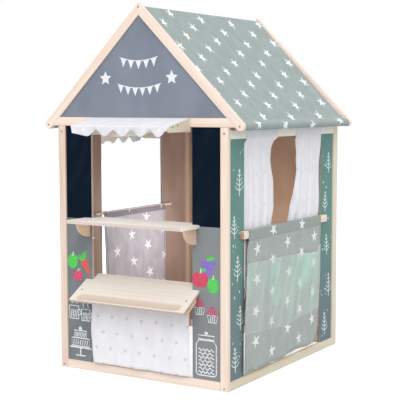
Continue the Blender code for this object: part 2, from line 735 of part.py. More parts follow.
def sleeve_rows(width, rod_radius, columns):
    """A round sleeve about the origin's axis, from its seam over the bar to the outer side."""
    radius = rod_radius + CLOTH_OFFSET
    stations = steps_between(-width / 2, width / 2, columns)
    seam = (-radius + CLOTH_THICKNESS + 2 * GAP, -2 * radius)
    ring = [seam] + arc((0.0, 0.0), radius, 230, 540, 12)[:-1]
    return [[Vector((x, y, z)) for x in stations] for y, z in ring]


def rod_cloth(name, material, location, facing, width, drop, rod_radius, flare=-0.02):
    """A cloth with a round sleeve, whose origin is on the bar's axis."""
    columns = 4 * max(1, round(width / CLOTH_FOLD_PITCH))
    rows = sleeve_rows(width, rod_radius, columns)
    plane = rod_radius + CLOTH_OFFSET
    rows += hanging_rows(width, drop, plane, CLOTH_FOLD_DEPTH, CLOTH_FOLD_PITCH, columns, 5, flare)
    sheet(name, rows, CLOTH_THICKNESS, material, location, facing)


def front_cloth():
    """The cloth below the sloping shelf, its rod and the two holders under the board."""
    y = FRONT_PANEL_FACE - FRONT_ROD_OUT
    underside = lower_shelf_top(y) - SHELF_THICKNESS / math.cos(LOWER_SHELF_SLOPE)
    z = underside - FRONT_ROD_DROP
    front_cloth_width = SHELF_WIDTH - 2 * FRONT_CLOTH_MARGIN
    half = front_cloth_width / 2 + 4 * GAP
    dowel("front_cloth_rod", (-half, y, z), (half, y, z), FRONT_ROD_DIAMETER, "pine")
    rod_cloth(
        "front_cloth",
        "white_cloth",
        (0.0, y, z),
        TOWARDS_FRONT,
        front_cloth_width,
        z - FRONT_CLOTH_HEM_HEIGHT,
        FRONT_ROD_DIAMETER / 2,
    )
    wide = FRONT_ROD_DIAMETER / 2 + SCREW_MARGIN / 8
    slack = GAP / math.cos(LOWER_SHELF_SLOPE)
    for side, label in ((-1, "left"), (1, "right")):
        tops = [lower_shelf_top(y + edge) - (lower_shelf_top(y) - underside) - slack for edge in (-wide, wide)]
        outline = [(y - wide, tops[0]), (y + wide, tops[1])]
        outline += arc((y, underside - ROD_HOLDER_DEPTH + wide), wide, 0, -180, 8)
        middle = side * (half + GAP + ROD_HOLDER_THICKNESS / 2)
        plate(
            f"front_rod_holder_{label}",
            outline,
            ROD_HOLDER_THICKNESS,
            "pine",
            (middle, 0.0, 0.0),
            (QUARTER_TURN, 0.0, QUARTER_TURN),
            PANEL_EASE,
        )


def left_cloth():
    """The bar across the left window's inner side, and its cloth."""
    radius = LEFT_BAR_DIAMETER / 2
    x = -SIDE_INNER + GAP + radius
    ends = (LEFT_OPENING_FRONT - LEFT_BAR_OVERLAP, LEFT_OPENING_BACK + LEFT_BAR_OVERLAP)
    dowel("left_bar", (x, ends[0], LEFT_BAR_HEIGHT), (x, ends[1], LEFT_BAR_HEIGHT), LEFT_BAR_DIAMETER, "pine")
    rod_cloth(
        "left_cloth",
        "grey_cloth",
        (x, LEFT_OPENING_MIDDLE, LEFT_BAR_HEIGHT),
        TOWARDS_RIGHT,
        LEFT_CLOTH_WIDTH,
        LEFT_BAR_HEIGHT - LEFT_CLOTH_HEM_HEIGHT,
        radius,
        LEFT_CLOTH_FLARE,
    )


def door_cloth():
    """The bar outside the right opening, its sleeve, the swinging cloth and the two sheer pockets sewn on it."""
    inner = SIDE_PANEL_FACE + GAP
    outer = inner + BATTEN_THIN
    low, high = DOOR_BAR_HEIGHT - DOOR_BAR_WIDE / 2, DOOR_BAR_HEIGHT + DOOR_BAR_WIDE / 2
    ends = (RIGHT_OPENING_FRONT - DOOR_BAR_FRONT_OVERLAP, RIGHT_OPENING_BACK + DOOR_BAR_BACK_OVERLAP)
    block("door_bar", (inner, outer), ends, (low, high), "pine")
    middle = RIGHT_OPENING_FRONT - DOOR_CLOTH_OVERLAP + DOOR_CLOTH_WIDTH / 2
    half = DOOR_CLOTH_WIDTH / 2
    sleeve_start = DOOR_CLOTH_OVERLAP + DOOR_SLEEVE_INSET - half
    ring = [
        (outer - 3 * CLOTH_THICKNESS, low - CLOTH_OFFSET),
        (inner - CLOTH_OFFSET, low - CLOTH_OFFSET),
        (inner - CLOTH_OFFSET, high + CLOTH_OFFSET),
        (outer + CLOTH_OFFSET, high + CLOTH_OFFSET),
        (outer + CLOTH_OFFSET, low - CLOTH_OFFSET),
    ]
    rows = [[Vector((s, -across, up)) for s in (sleeve_start, half)] for across, up in ring]
    sheet("door_cloth_sleeve", rows, CLOTH_THICKNESS, "grey_cloth", (0.0, middle, 0.0), TOWARDS_RIGHT)
    hinge = low - CLOTH_OFFSET - CLOTH_THICKNESS / 2 - DOOR_CLOTH_CLEARANCE
    place = (outer - DOOR_CLOTH_SETBACK, middle, hinge)
    columns = 4 * max(1, round(DOOR_CLOTH_WIDTH / CLOTH_FOLD_PITCH))
    drop = hinge - DOOR_CLOTH_HEM_HEIGHT
    rows = hanging_rows(DOOR_CLOTH_WIDTH, drop, 0.0, CLOTH_FOLD_DEPTH, CLOTH_FOLD_PITCH, columns, 6)
    sheet("door_cloth", rows, CLOTH_THICKNESS, "grey_cloth", place, TOWARDS_RIGHT)
    stations = steps_between(-half, half, columns)
    rows = []
    seat = CLOTH_THICKNESS / 2 + GAP + POCKET_THICKNESS / 2
    for share in steps_between(0.0, 1.0, 5):
        height = POCKET_TOP_HEIGHT + (POCKET_BOTTOM_HEIGHT - POCKET_TOP_HEIGHT) * share
        depth_share = (hinge - height) / drop
        swell = CLOTH_FOLD_DEPTH * math.sin(QUARTER_TURN * min(1.0, depth_share * 1.6))
        narrow = 1.0 - 0.02 * depth_share
        row = []
        for x in stations:
            full = POCKET_FULLNESS * abs(math.sin(2 * math.pi * x / DOOR_CLOTH_WIDTH)) * (1.0 - share**2)
            wave = swell * fold(x, DOOR_CLOTH_WIDTH, CLOTH_FOLD_PITCH)
            row.append(Vector((x * narrow, -(seat + full + CLOTH_THICKNESS) - wave, height - hinge)))
        rows.append(row)
    rows[-1] = [point + Vector((0.0, CLOTH_THICKNESS, 0.0)) for point in rows[-1]]
    sheet("door_pocket", rows, POCKET_THICKNESS, "organza", place, TOWARDS_RIGHT)


def curtain_rows(widths, fixed_side):
    """A curtain's casing round the rail and its folded tail. The widths run from its top to its hem."""
    half_thin = BATTEN_THIN / 2 + CLOTH_OFFSET
    half_wide = BATTEN_WIDE / 2 + CLOTH_OFFSET
    plane = HALF_WIDTH - CURTAIN_PLANE_INSET - (SIDE_INNER + HALF_WIDTH) / 2
    under = -half_wide
    ring = [
        (plane - 2 * CLOTH_THICKNESS, under),
        (-half_thin, under),
        (-half_thin, half_wide),
        (half_thin, half_wide),
        (half_thin, under),
        (plane + CLOTH_THICKNESS, under),
    ]
    half = widths[0] / 2
    columns = 4 * round(widths[0] / CURTAIN_FOLD_PITCH)
    rows = [[Vector((s, -across, up)) for s in steps_between(-half, half, columns)] for across, up in ring]
    drop = (SIDE_RAIL_TOP + SIDE_RAIL_BOTTOM) / 2 + under - CURTAIN_HEM_HEIGHT
    levels = len(widths) - 1
    tail = hanging_rows(widths[0], drop, plane, CURTAIN_FOLD_DEPTH, CURTAIN_FOLD_PITCH, columns, levels)
    fixed = fixed_side * half
    for row, width in list(zip(tail, widths))[1:]:
        share = width / widths[0]
        rows.append([Vector((fixed + (point.x - fixed) * share, point.y, point.z + under)) for point in row])
    return rows


def curtains():
    """Two gathered curtains whose casings go round the right top rail, and whose tails hang behind the bar."""
    middle_z = (SIDE_RAIL_TOP + SIDE_RAIL_BOTTOM) / 2
    middle_x = (SIDE_INNER + HALF_WIDTH) / 2
    front = RIGHT_OPENING_FRONT + CURTAIN_INSET + FRONT_CURTAIN_WIDTHS[0] / 2
    back = RIGHT_OPENING_BACK - CURTAIN_INSET - BACK_CURTAIN_WIDTHS[0] / 2
    places = (("curtain_front", FRONT_CURTAIN_WIDTHS, -1, front), ("curtain_back", BACK_CURTAIN_WIDTHS, 1, back))
    for name, widths, fixed_side, y in places:
        rows = curtain_rows(widths, fixed_side)
        sheet(name, rows, CLOTH_THICKNESS, "white_cloth", (middle_x, y, middle_z), TOWARDS_RIGHT)


clear_scene()
PARTS = make_collection("play_shop_theatre")
CUTTERS = make_collection("cutters")

posts()
bottom_rails()
side_rails()
gable_frame("front", FRONT, -1)
gable_frame("back", BACK, 1)
gable_panel("front", FRONT_INNER, -1)
gable_panel("back", BACK_FRAME_INNER, 1)
roof_bars()
roof_cover()
front_panels()
side_panels()
back_wall()
upper_shelf()
lower_shelf()
awning(
    "front",
    (FRONT_AWNING_SHIFT, FRONT, BEAM_TOP - AWNING_TOP_INSET),
    TOWARDS_FRONT,
    ("left", "right"),
)
awning(
    "left",
    (-HALF_WIDTH, LEFT_OPENING_MIDDLE + LEFT_AWNING_SHIFT, SIDE_RAIL_TOP - LEFT_AWNING_DROP),
    TOWARDS_LEFT,
    ("back", "front"),
)
front_cloth()
left_cloth()
door_cloth()
curtains()
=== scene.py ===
"""The looks of the play shop and puppet theatre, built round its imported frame.

Metres, X to the right, Y to the back, Z up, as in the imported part. Every new piece keeps its origin at
the frame's origin, so a material's object coordinates are places on the part at rest. A cloth carries a
UV layer laid out in metres, on which its print and its weave are drawn.
"""

import bpy
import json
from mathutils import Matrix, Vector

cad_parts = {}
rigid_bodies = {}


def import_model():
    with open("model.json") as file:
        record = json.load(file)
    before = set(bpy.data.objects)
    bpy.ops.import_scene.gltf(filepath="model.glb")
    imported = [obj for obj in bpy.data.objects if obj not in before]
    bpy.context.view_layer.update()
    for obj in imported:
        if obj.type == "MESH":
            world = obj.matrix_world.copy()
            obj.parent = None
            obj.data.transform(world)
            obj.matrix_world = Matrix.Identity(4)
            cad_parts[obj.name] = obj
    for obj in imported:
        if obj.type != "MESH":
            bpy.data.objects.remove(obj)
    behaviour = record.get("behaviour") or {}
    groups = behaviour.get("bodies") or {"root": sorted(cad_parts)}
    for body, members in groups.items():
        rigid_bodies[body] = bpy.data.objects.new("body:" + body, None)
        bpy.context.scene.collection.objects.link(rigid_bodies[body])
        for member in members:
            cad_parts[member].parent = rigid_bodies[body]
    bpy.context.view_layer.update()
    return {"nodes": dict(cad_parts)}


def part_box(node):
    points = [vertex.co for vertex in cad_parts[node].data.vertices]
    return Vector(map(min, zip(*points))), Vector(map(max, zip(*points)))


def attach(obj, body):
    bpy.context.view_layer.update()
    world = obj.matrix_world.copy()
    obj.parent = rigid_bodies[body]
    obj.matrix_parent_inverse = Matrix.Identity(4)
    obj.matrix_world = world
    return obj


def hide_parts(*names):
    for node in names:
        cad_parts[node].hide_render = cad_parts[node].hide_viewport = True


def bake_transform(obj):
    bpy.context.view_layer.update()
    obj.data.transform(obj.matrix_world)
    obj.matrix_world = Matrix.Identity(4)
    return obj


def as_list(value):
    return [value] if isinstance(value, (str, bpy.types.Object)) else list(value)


for startup_item in list(bpy.data.objects):
    bpy.data.objects.remove(startup_item, do_unlink=True)

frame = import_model()

import json
import math
import random

import bmesh
import numpy as np
from mathutils import Matrix, Vector

NODES = frame["nodes"]
ROOT = "house"
TAU = 2 * math.pi
X_AXIS = (1.0, 0.0, 0.0)
Y_AXIS = (0.0, 1.0, 0.0)
Z_AXIS = (0.0, 0.0, 1.0)
LEFTWARDS = (-1.0, 0.0, 0.0)
FORWARDS = (0.0, -1.0, 0.0)

# Camera, fitted to the photograph
CAMERA_PLACE = (2.2384, -3.2118, 1.0187)
CAMERA_YAW = 0.5532
CAMERA_DIP = 0.0902
CAMERA_ROLL = -0.002
LENS = 96.43
SENSOR = 36.0
CLIP_END = 60.0

# Light
SKY = 0.80
LIGHT_WHITE = (1.0, 1.0, 1.0, 1.0)
KEY_FROM = (0.27, -0.62, 0.76)
KEY_STRENGTH = 1.52
KEY_SPREAD = math.radians(60)
FILL_PLACE = (-0.03, 0.54, 0.50)
FILL_STRENGTH = 3.9
FILL_RADIUS = 0.15
FLOOR_GLOW = 0.62
FLOOR_COLOUR = (0.62, 0.62, 0.63, 1.0)
FLOOR_HALF = 12.0

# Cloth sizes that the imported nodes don't state
PLY = 0.0014
AWNING_PLY = 0.0013
SHEER_PLY = 0.0007
HEM_THINNING = 0.6
CLOTH_GAP = 0.0003
CLOTH_OFFSET = CLOTH_GAP + PLY / 2
GRID = 0.006
HEM_WIDTH = 0.010
STITCH_INSET = 0.008
STITCH_RUN = 0.0045
STAR_TURN = 1.1
SLEEVE_BEND = 0.0022
THREE_HEMS = ("left", "right", "bottom")

# Finishes
BUMP_DEPTH = 0.0003
EDGE_ANGLE = math.radians(52)
SCREW_EDGE_ANGLE = math.radians(35)

# Lower shelf
SHELF_TILT = math.radians(30)
SHELF_TOP = 0.3535
SHELF_DEPTH = 0.1245
SHELF_HALF = 0.254
SHELF_NORMAL = (0.0, -math.sin(SHELF_TILT), math.cos(SHELF_TILT))

# Screws, and the small cap on a board's edge
SCREW_HEAD = 0.0070
SCREW_SUNK = 0.0013
SCREW_SET_IN = 0.0003
SCREW_MARGIN = 0.022
APEX_SCREW_RISE = 0.005
CAP_HALF = 0.0048
CAP_HEIGHT = 0.511


def paint(red, green, blue):
    """A display colour, 0 to 255, as the linear colour that a shader takes."""
    shares = [value / 255 for value in (red, green, blue)]
    linear = [share / 12.92 if share <= 0.04045 else ((share + 0.055) / 1.055) ** 2.4 for share in shares]
    return (*linear, 1.0)


def paints(*colours):
    return tuple(paint(*colour) for colour in colours)


class Tree:
    """The nodes of a material or the world, made with short calls. A socket or a value feeds any input."""

    def __init__(self, owner, shader, **constants):
        owner.use_nodes = True
        self.owner = owner
        self.nodes = owner.node_tree.nodes
        self.links = owner.node_tree.links
        self.shader = self.nodes[shader]
        for key, value in constants.items():
            self.shader.inputs[key.replace("_", " ")].default_value = value
        self.place = self.node("TexCoord").outputs["Object"]

    def feed(self, socket, value):
        if isinstance(value, bpy.types.NodeSocket):
            self.links.new(value, socket)
        else:
            socket.default_value = value

    def node(self, kind, values=(), **settings):
        made = self.nodes.new("ShaderNode" + kind)
        for key, setting in settings.items():
            setattr(made, key, setting)
        for key, value in dict(values).items():
            self.feed(made.inputs[key], value)
        return made

    def maths(self, operation, *values):
        return self.node("Math", enumerate(values), operation=operation).outputs[0]

    def mix(self, share, first, second):
        return self.node("Mix", {0: share, 6: first, 7: second}, data_type="RGBA").outputs[2]

    def split(self, vector):
        return tuple(self.node("SeparateXYZ", {"Vector": vector}).outputs)

    def ramp(self, value, low, high, start=0.0, end=1.0):
        """A smooth step of a value from start, at low and under, to end, at high and over."""
        limits = {"Value": value, "From Min": low, "From Max": high, "To Min": start, "To Max": end}
        return self.node("MapRange", limits, interpolation_type="SMOOTHSTEP").outputs[0]

    def near(self, value, level, inner, outer, strength=1.0):
        """The strength where a value is within inner of a level, fading to nothing at outer."""
        away = self.maths("ABSOLUTE", self.maths("SUBTRACT", value, level))
        return self.ramp(away, inner, outer, strength, 0.0)

    def noise(self, sizes, detail=2.0, place=None, turn=(0.0, 0.0, 0.0)):
        """Noise whose grains have these sizes along the turned axes."""
        where = {"Vector": place or self.place, "Rotation": turn, "Scale": sizes}
        mapped = self.node("Mapping", where, vector_type="TEXTURE").outputs[0]
        return self.node("TexNoise", {"Vector": mapped, "Scale": 1.0, "Detail": detail}).outputs[0]

    def mottled(self, sizes, detail, low, high, first, second):
        return self.mix(self.ramp(self.noise(sizes, detail), low, high), first, second)

    def dot(self, vector, direction):
        return self.node("VectorMath", {0: vector, 1: direction}, operation="DOT_PRODUCT").outputs["Value"]

    def facing(self, direction):
        """How far a face looks one way, from -1 to 1, in the part's own axes."""
        return self.dot(self.node("TexCoord").outputs["Normal"], direction)

    def bump(self, height, strength):
        made = self.node("Bump", {"Height": height, "Strength": strength, "Distance": BUMP_DEPTH})
        self.feed(self.shader.inputs["Normal"], made.outputs[0])

    def colour(self, value):
        self.feed(self.shader.inputs["Base Color"], value)
        return self.owner


def surface(name, roughness, **constants):
    return Tree(bpy.data.materials.new(name), "Principled BSDF", Roughness=roughness, **constants)


def plain(name, first, second, size, roughness, **constants):
    """A finish with a slight unevenness of tone."""
    tree = surface(name, roughness, **constants)
    return tree.colour(tree.mottled((size,) * 3, 3.0, 0.35, 0.65, first, second))


def wood(name, tones, along, roughness=0.55, bold=1.0, recess_shade=None, faces=()):
    """Planed wood: broad bands, fine streaks and pores that run along the piece.

    recess_shade is a face's point and normal, and a darker, warmer tint painted below it as shade in the
    recess.
    faces are pairs of a direction and a tint for the piece's faces that look that way: painted shade, with an
    edge's own darker tone where it has one.
    """
    tree = surface(name, roughness, Specular_IOR_Level=0.35)
    turn = Vector(Z_AXIS).rotation_difference(Vector(along)).to_euler()

    def grains(width, length, detail):
        return tree.noise((width, width, length), detail, turn=turn)

    streaks = grains(0.0024, 0.11, 3.0)
    pores = grains(0.0007, 0.012, 1.0)
    share = tree.maths("MULTIPLY", tree.ramp(grains(0.012, 0.45, 2.0), 0.40, 0.68), 0.42 * bold)
    share = tree.maths("ADD", share, tree.ramp(streaks, 0.46, 0.74, 0.0, 0.34 * bold))
    share = tree.maths("ADD", share, tree.ramp(grains(0.11, 0.30, 1.0), 0.35, 0.65, -0.06, 0.12))
    grain = tree.mix(share, *tones)
    # Painted shade: a darker, warmer tint below the face, in the recess
    if recess_shade:
        point, normal, tint = recess_shade
        offset = tree.node("VectorMath", {0: tree.place, 1: point}, operation="SUBTRACT").outputs[0]
        grain = tree.mix(tree.ramp(tree.dot(offset, normal), -0.0055, -0.0002, 0.80, 0.0), grain, tint)
    # Tints painted on the faces that look one way: shade, with an edge's own tone where it has one
    for direction, tint in faces:
        grain = tree.mix(tree.ramp(tree.facing(direction), 0.75, 0.95, 0.0, 0.85), grain, tint)
    deep = (*(0.80 * value for value in tones[1][:3]), 1.0)
    tree.bump(tree.maths("ADD", streaks, tree.maths("MULTIPLY", pores, 0.5)), 0.20)
    return tree.colour(tree.mix(tree.ramp(pores, 0.62, 0.78, 0.0, 0.35), grain, deep))


# The side, back and gable boards' edges are painted a dull grey-green, as shade
SHADED_BOARD_EDGE = paint(136, 140, 132)
PALE_BOARD_EDGE = paint(214, 196, 188)
RAW_BOARD = paints((182, 156, 144), (164, 139, 127))
BACK_BOARD = paints((183, 149, 126), (162, 131, 109))
BLACKBOARD = paint(13, 26, 40)
CHALK_GREY = paint(130, 136, 140)
CHALK_LINE_HEIGHT = 0.583
WHITE = paint(246, 247, 248)


def panel(name, outward, painted, edge_colour=SHADED_BOARD_EDGE, raw=RAW_BOARD):
    """A thin board, painted on its outer face only, with a raw brown inner face. Its edges mix edge_colour,
    by default a painted shade, with the raw board's tone.
    """
    tree = surface(name, 0.75, Specular_IOR_Level=0.03)
    facing = tree.facing(outward)
    fibres = tree.noise((0.003, 0.003, 0.004), 3.0)
    inner = tree.mottled((0.18, 0.18, 0.30), 2.0, 0.35, 0.65, *raw)
    inner = tree.mix(tree.ramp(fibres, 0.55, 0.75, 0.0, 0.25), inner, raw[1])
    edge = tree.mix(tree.ramp(fibres, 0.40, 0.70), edge_colour, raw[0])
    colour = tree.mix(tree.ramp(facing, 0.60, 0.75), edge, painted(tree))
    colour = tree.mix(tree.ramp(facing, -0.75, -0.60, 1.0, 0.0), colour, inner)
    tree.bump(tree.noise((0.0016,) * 3), 0.12)
    return tree.colour(colour)


def chalkboard_paint(tree):
    """Blackboard above, mid grey below, both with a little wiped chalk dust. The grey is painted darker
    towards the left board as shade.
    """
    across, _, height = tree.split(tree.place)
    dust = tree.noise((0.050, 0.050, 0.16), 4.0, turn=(0.0, 0.5, 0.0))
    black = tree.mix(tree.ramp(dust, 0.42, 0.75, 0.0, 0.02), BLACKBOARD, paint(120, 130, 140))
    # The grey is darker towards the left: painted shade
    grey = tree.mix(tree.ramp(across, -0.25, 0.25), *paints((121, 127, 131), (138, 143, 146)))
    grey = tree.mix(tree.ramp(dust, 0.35, 0.70, 0.0, 0.5), grey, paint(142, 147, 150))
    return tree.mix(tree.ramp(height, CHALK_LINE_HEIGHT - 0.0004, CHALK_LINE_HEIGHT + 0.0004), grey, black)


def gable_paint(tree):
    return tree.mottled((0.16, 0.16, 0.20), 2.0, 0.30, 0.70, *paints((128, 135, 148), (138, 145, 158)))


def teal_paint(tree):
    """Green at the top, fading to a blue grey at the foot."""
    height = tree.split(tree.place)[2]
    fade = tree.mix(tree.ramp(height, 0.10, 0.55), *paints((122, 135, 142), (112, 151, 145)))
    clouds = tree.noise((0.10, 0.10, 0.16), 2.0)
    return tree.mix(tree.ramp(clouds, 0.35, 0.70, 0.0, 0.35), fade, paint(126, 158, 152))


def star_mask(tree, spot, across, along, radius, waist, wander, unevenness):
    """1 inside the five-pointed stars of a half-drop pattern, whose places, turns and arms vary a little."""
    maths = tree.maths
    flat_x, flat_y, _ = tree.split(spot)
    column = maths("ROUND", maths("DIVIDE", flat_x, across))
    drop = maths("MULTIPLY", maths("FLOORED_MODULO", column, 2.0), 0.5)
    height = maths("ADD", maths("DIVIDE", flat_y, along), drop)
    row = maths("ROUND", height)
    cell = tree.node("CombineXYZ", {"X": column, "Y": row}).outputs[0]
    chance = tree.split(tree.node("TexWhiteNoise", {"Vector": cell}).outputs["Color"])
    shifts = [maths("MULTIPLY", maths("SUBTRACT", part, 0.5), wander) for part in chance[:2]]
    x = maths("SUBTRACT", maths("SUBTRACT", flat_x, maths("MULTIPLY", column, across)), shifts[0])
    y = maths("SUBTRACT", maths("MULTIPLY", maths("SUBTRACT", height, row), along), shifts[1])
    bearing = maths("ADD", maths("ARCTAN2", y, x), maths("MULTIPLY", chance[2], STAR_TURN))
    reach = maths("SQRT", maths("ADD", maths("MULTIPLY", x, x), maths("MULTIPLY", y, y)))
    sector = maths("DIVIDE", bearing, TAU / 5)
    arm = maths("ROUND", sector)
    aside = maths("MULTIPLY", maths("ABSOLUTE", maths("SUBTRACT", sector, arm)), TAU / 5)
    arm_number = maths("ADD", maths("FLOORED_MODULO", arm, 5.0), 1.0)
    arm_cell = tree.node("CombineXYZ", {"X": column, "Y": row, "Z": arm_number}).outputs[0]
    arm_chance = tree.node("TexWhiteNoise", {"Vector": arm_cell}).outputs["Value"]
    limits = {"Value": arm_chance, "To Min": radius * (1 - unevenness), "To Max": radius}
    tip = tree.node("MapRange", limits).outputs[0]
    inner_x = radius * waist * math.cos(TAU / 10)
    inner_y = radius * waist * math.sin(TAU / 10)
    outwards = maths("SUBTRACT", maths("MULTIPLY", reach, maths("COSINE", aside)), tip)
    sideways = maths("MULTIPLY", reach, maths("SINE", aside))
    inside = maths("MULTIPLY", maths("SUBTRACT", inner_x, tip), sideways)
    inside = maths("SUBTRACT", inside, maths("MULTIPLY", outwards, inner_y))
    return tree.ramp(maths("DIVIDE", inside, math.hypot(radius - inner_x, inner_y)), -0.0005, 0.0005)


def weave_bump(tree, spot, pitch, strength):
    """Over-and-under threads, and the slubs that make a plain weave look hand-felt."""
    threads = []
    for direction in ("X", "Y"):
        settings = {"wave_type": "BANDS", "bands_direction": direction, "wave_profile": "SIN"}
        inputs = {"Vector": spot, "Scale": TAU / 20 / pitch, "Distortion": 0.0}
        threads.append(tree.node("TexWave", inputs, **settings).outputs[1])
    slubs = tree.maths("MULTIPLY", tree.noise((0.0015, 0.010, 0.01), 2.0, place=spot), 0.8)
    tree.bump(tree.maths("ADD", tree.maths("MULTIPLY", *threads), slubs), strength)


def stitched(tree, spot, colour, thread, fold):
    """A hem's double ply is a shade deeper, with one row of stitches. With a strength, a line along its inner
    fold and a rim at its edge take the thread's colour: painted shade where the thread is dark, the doubled
    sheer's whiter hem where it is white.
    """
    width, strength = fold
    distance = tree.node("Attribute", attribute_name="hem_distance").outputs["Fac"]
    colour = tree.mix(tree.ramp(distance, width - 0.0006, width + 0.0006, 0.10, 0.0), colour, thread)
    if strength:
        # Fold line and edge rim in the thread's colour: painted shade for a dark thread, the doubled sheer's
        # whiter hem for a white one
        colour = tree.mix(tree.near(distance, width, 0.0008, 0.0024, strength), colour, thread)
        colour = tree.mix(tree.ramp(distance, 0.0012, 0.0030, strength, 0.0), colour, thread)
    run = tree.maths("DIVIDE", tree.maths("ADD", *tree.split(spot)[:2]), STITCH_RUN)
    stitch = tree.ramp(tree.maths("FRACT", run), 0.68, 0.74, 1.0, 0.0)
    line = tree.maths("MULTIPLY", tree.near(distance, STITCH_INSET, 0.0003, 0.0007), stitch)
    return tree.mix(tree.maths("MULTIPLY", line, 0.5), colour, thread)


def fabric(name, tones, star, pattern, seam=None, fold=(HEM_WIDTH, 0.0), crest_highlight=None):
    """Printed cotton: a softly uneven ground, stars, a plain weave and a stitched hem.

    tones are the ground, its shade and the thread.
    seam is the layout height of a sewn seam, and a darker tone painted above it as the sleeve's shade; the
    seam's dark line is its stitching with painted shadow in its crease.
    fold is a hem's width, and the strength of the dark line painted as shade along its inner fold and at its
    edge.
    crest_highlight is the layout height of a sleeve's top, and the pale tone of the highlight painted along
    it.
    """
    ground, shade, thread = tones
    tree = surface(name, 0.88, Specular_IOR_Level=0.12, Sheen_Weight=0.10, Sheen_Roughness=0.5)
    spot = tree.node("UVMap", uv_map="print").outputs[0]
    height = tree.split(spot)[1]
    uneven = tree.noise((0.045, 0.070, 1.0), 3.0, place=spot)
    colour = tree.mix(tree.ramp(uneven, 0.30, 0.70), ground, shade)
    if seam:
        # Above the seam the sleeve is painted darker: painted shade
        level, tone = seam
        colour = tree.mix(tree.ramp(height, level - 0.001, level + 0.001, 0.0, 0.85), colour, tone)
    colour = tree.mix(star_mask(tree, spot, **pattern), colour, star)
    if seam:
        # The seam's dark line: its stitching with painted shadow in its crease
        colour = tree.mix(tree.near(height, level, 0.0006, 0.0020, 0.55), colour, thread)
    # A pale line painted along the sleeve's top as a highlight
    if crest_highlight:
        colour = tree.mix(tree.near(height, crest_highlight[0], 0.0050, 0.0065, 0.85), colour, crest_highlight[1])
    weave_bump(tree, spot, 0.0011, 0.25)
    return tree.colour(stitched(tree, spot, colour, thread, fold))


def organza(name):
    """A sheer mint weave: its own threads show, and what lies behind it shows through."""
    tree = surface(name, 0.55, Sheen_Weight=0.3, Sheen_Roughness=0.4)
    spot = tree.node("UVMap", uv_map="print").outputs[0]
    patches = tree.noise((0.13, 0.30, 1.0), 2.0, place=spot, turn=(0.0, 0.0, -0.5))
    streaks = tree.noise((0.045, 0.30, 1.0), 1.0, place=spot, turn=(0.0, 0.0, -0.3))
    across, up, _ = tree.split(spot)
    share = tree.ramp(patches, 0.30, 0.75, 0.0, 0.45)
    for value, *limits in (
        (streaks, 0.30, 0.72, -0.10, 0.30),
        (up, 0.06, 0.28, -0.10, 0.15),
        (across, 0.05, 0.30, -0.15, 0.10),
    ):
        share = tree.maths("ADD", share, tree.ramp(value, *limits))
    colour = tree.mix(share, *paints((236, 242, 240), (206, 255, 234)))
    tree.feed(tree.shader.inputs["Alpha"], tree.ramp(share, 0.0, 1.0, 0.14, 0.44))
    weave_bump(tree, spot, 0.0008, 0.2)
    return tree.colour(stitched(tree, spot, colour, WHITE, (0.006, 0.9)))


def chalk(name, colour):
    """Chalk that has caught on the board's tooth, with the board's grey where it skipped."""
    tree = surface(name, 0.95, Specular_IOR_Level=0.1)
    grit = tree.noise((0.0022, 0.0022, 0.0022), 3.0)
    powder = tree.mix(tree.ramp(grit, 0.50, 0.75, 0.0, 0.35), colour, WHITE)
    return tree.colour(tree.mix(tree.ramp(grit, 0.34, 0.46), CHALK_GREY, powder))


BOLD_STARS = dict(across=0.120, along=0.1135, radius=0.033, waist=0.30, wander=0.010, unevenness=0.26)
LEFT_STARS = dict(BOLD_STARS, across=0.1165, along=0.1185, wander=0.006)
ROOF_STARS = dict(BOLD_STARS, across=0.115, along=0.1155, radius=0.034)
FAINT_STARS = dict(across=0.03325, along=0.122, radius=0.0115, waist=0.36, wander=0.004, unevenness=0.20)

PALE_TONES = paints((246, 245, 249), (239, 239, 244), (212, 213, 219))
AWNING_TONES = paints((233, 232, 236), (226, 227, 232)) + PALE_TONES[2:]
ROOF_TONES = paints((162, 173, 173), (152, 167, 163), (136, 150, 144))
DOOR_TONES = paints((181, 186, 183), (172, 180, 176), (128, 138, 132))
LILAC_TONES = paints((200, 194, 201), (184, 178, 186), (118, 112, 120))
# Seam heights, each with a darker tone painted as shade on the sleeve above it
DOOR_SEAM_AND_SHADE = (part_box("door_cloth")[1].z - 0.040, paint(156, 167, 160))
LEFT_SEAM_AND_SHADE = (0.1425, paint(134, 129, 135))
LEFT_CREST_HIGHLIGHT = (0.170, paint(240, 226, 220))
ROOF_FABRIC = fabric("roof_cloth", ROOF_TONES, WHITE, ROOF_STARS)
DOOR_FABRIC = fabric("door_cloth", DOOR_TONES, WHITE, BOLD_STARS, DOOR_SEAM_AND_SHADE, (0.010, 0.35))
LILAC_FABRIC = fabric("left_cloth", LILAC_TONES, WHITE, LEFT_STARS, LEFT_SEAM_AND_SHADE, (0.014, 0.8), LEFT_CREST_HIGHLIGHT)
STARRED_WHITE = fabric("starred_white", PALE_TONES, paint(212, 216, 222), FAINT_STARS)
AWNING_FABRIC = fabric("awning_cloth", AWNING_TONES, PALE_TONES[0], FAINT_STARS)
WHITE_FABRIC = fabric("white_cloth", PALE_TONES, paint(232, 234, 239), FAINT_STARS)
ORGANZA = organza("organza")


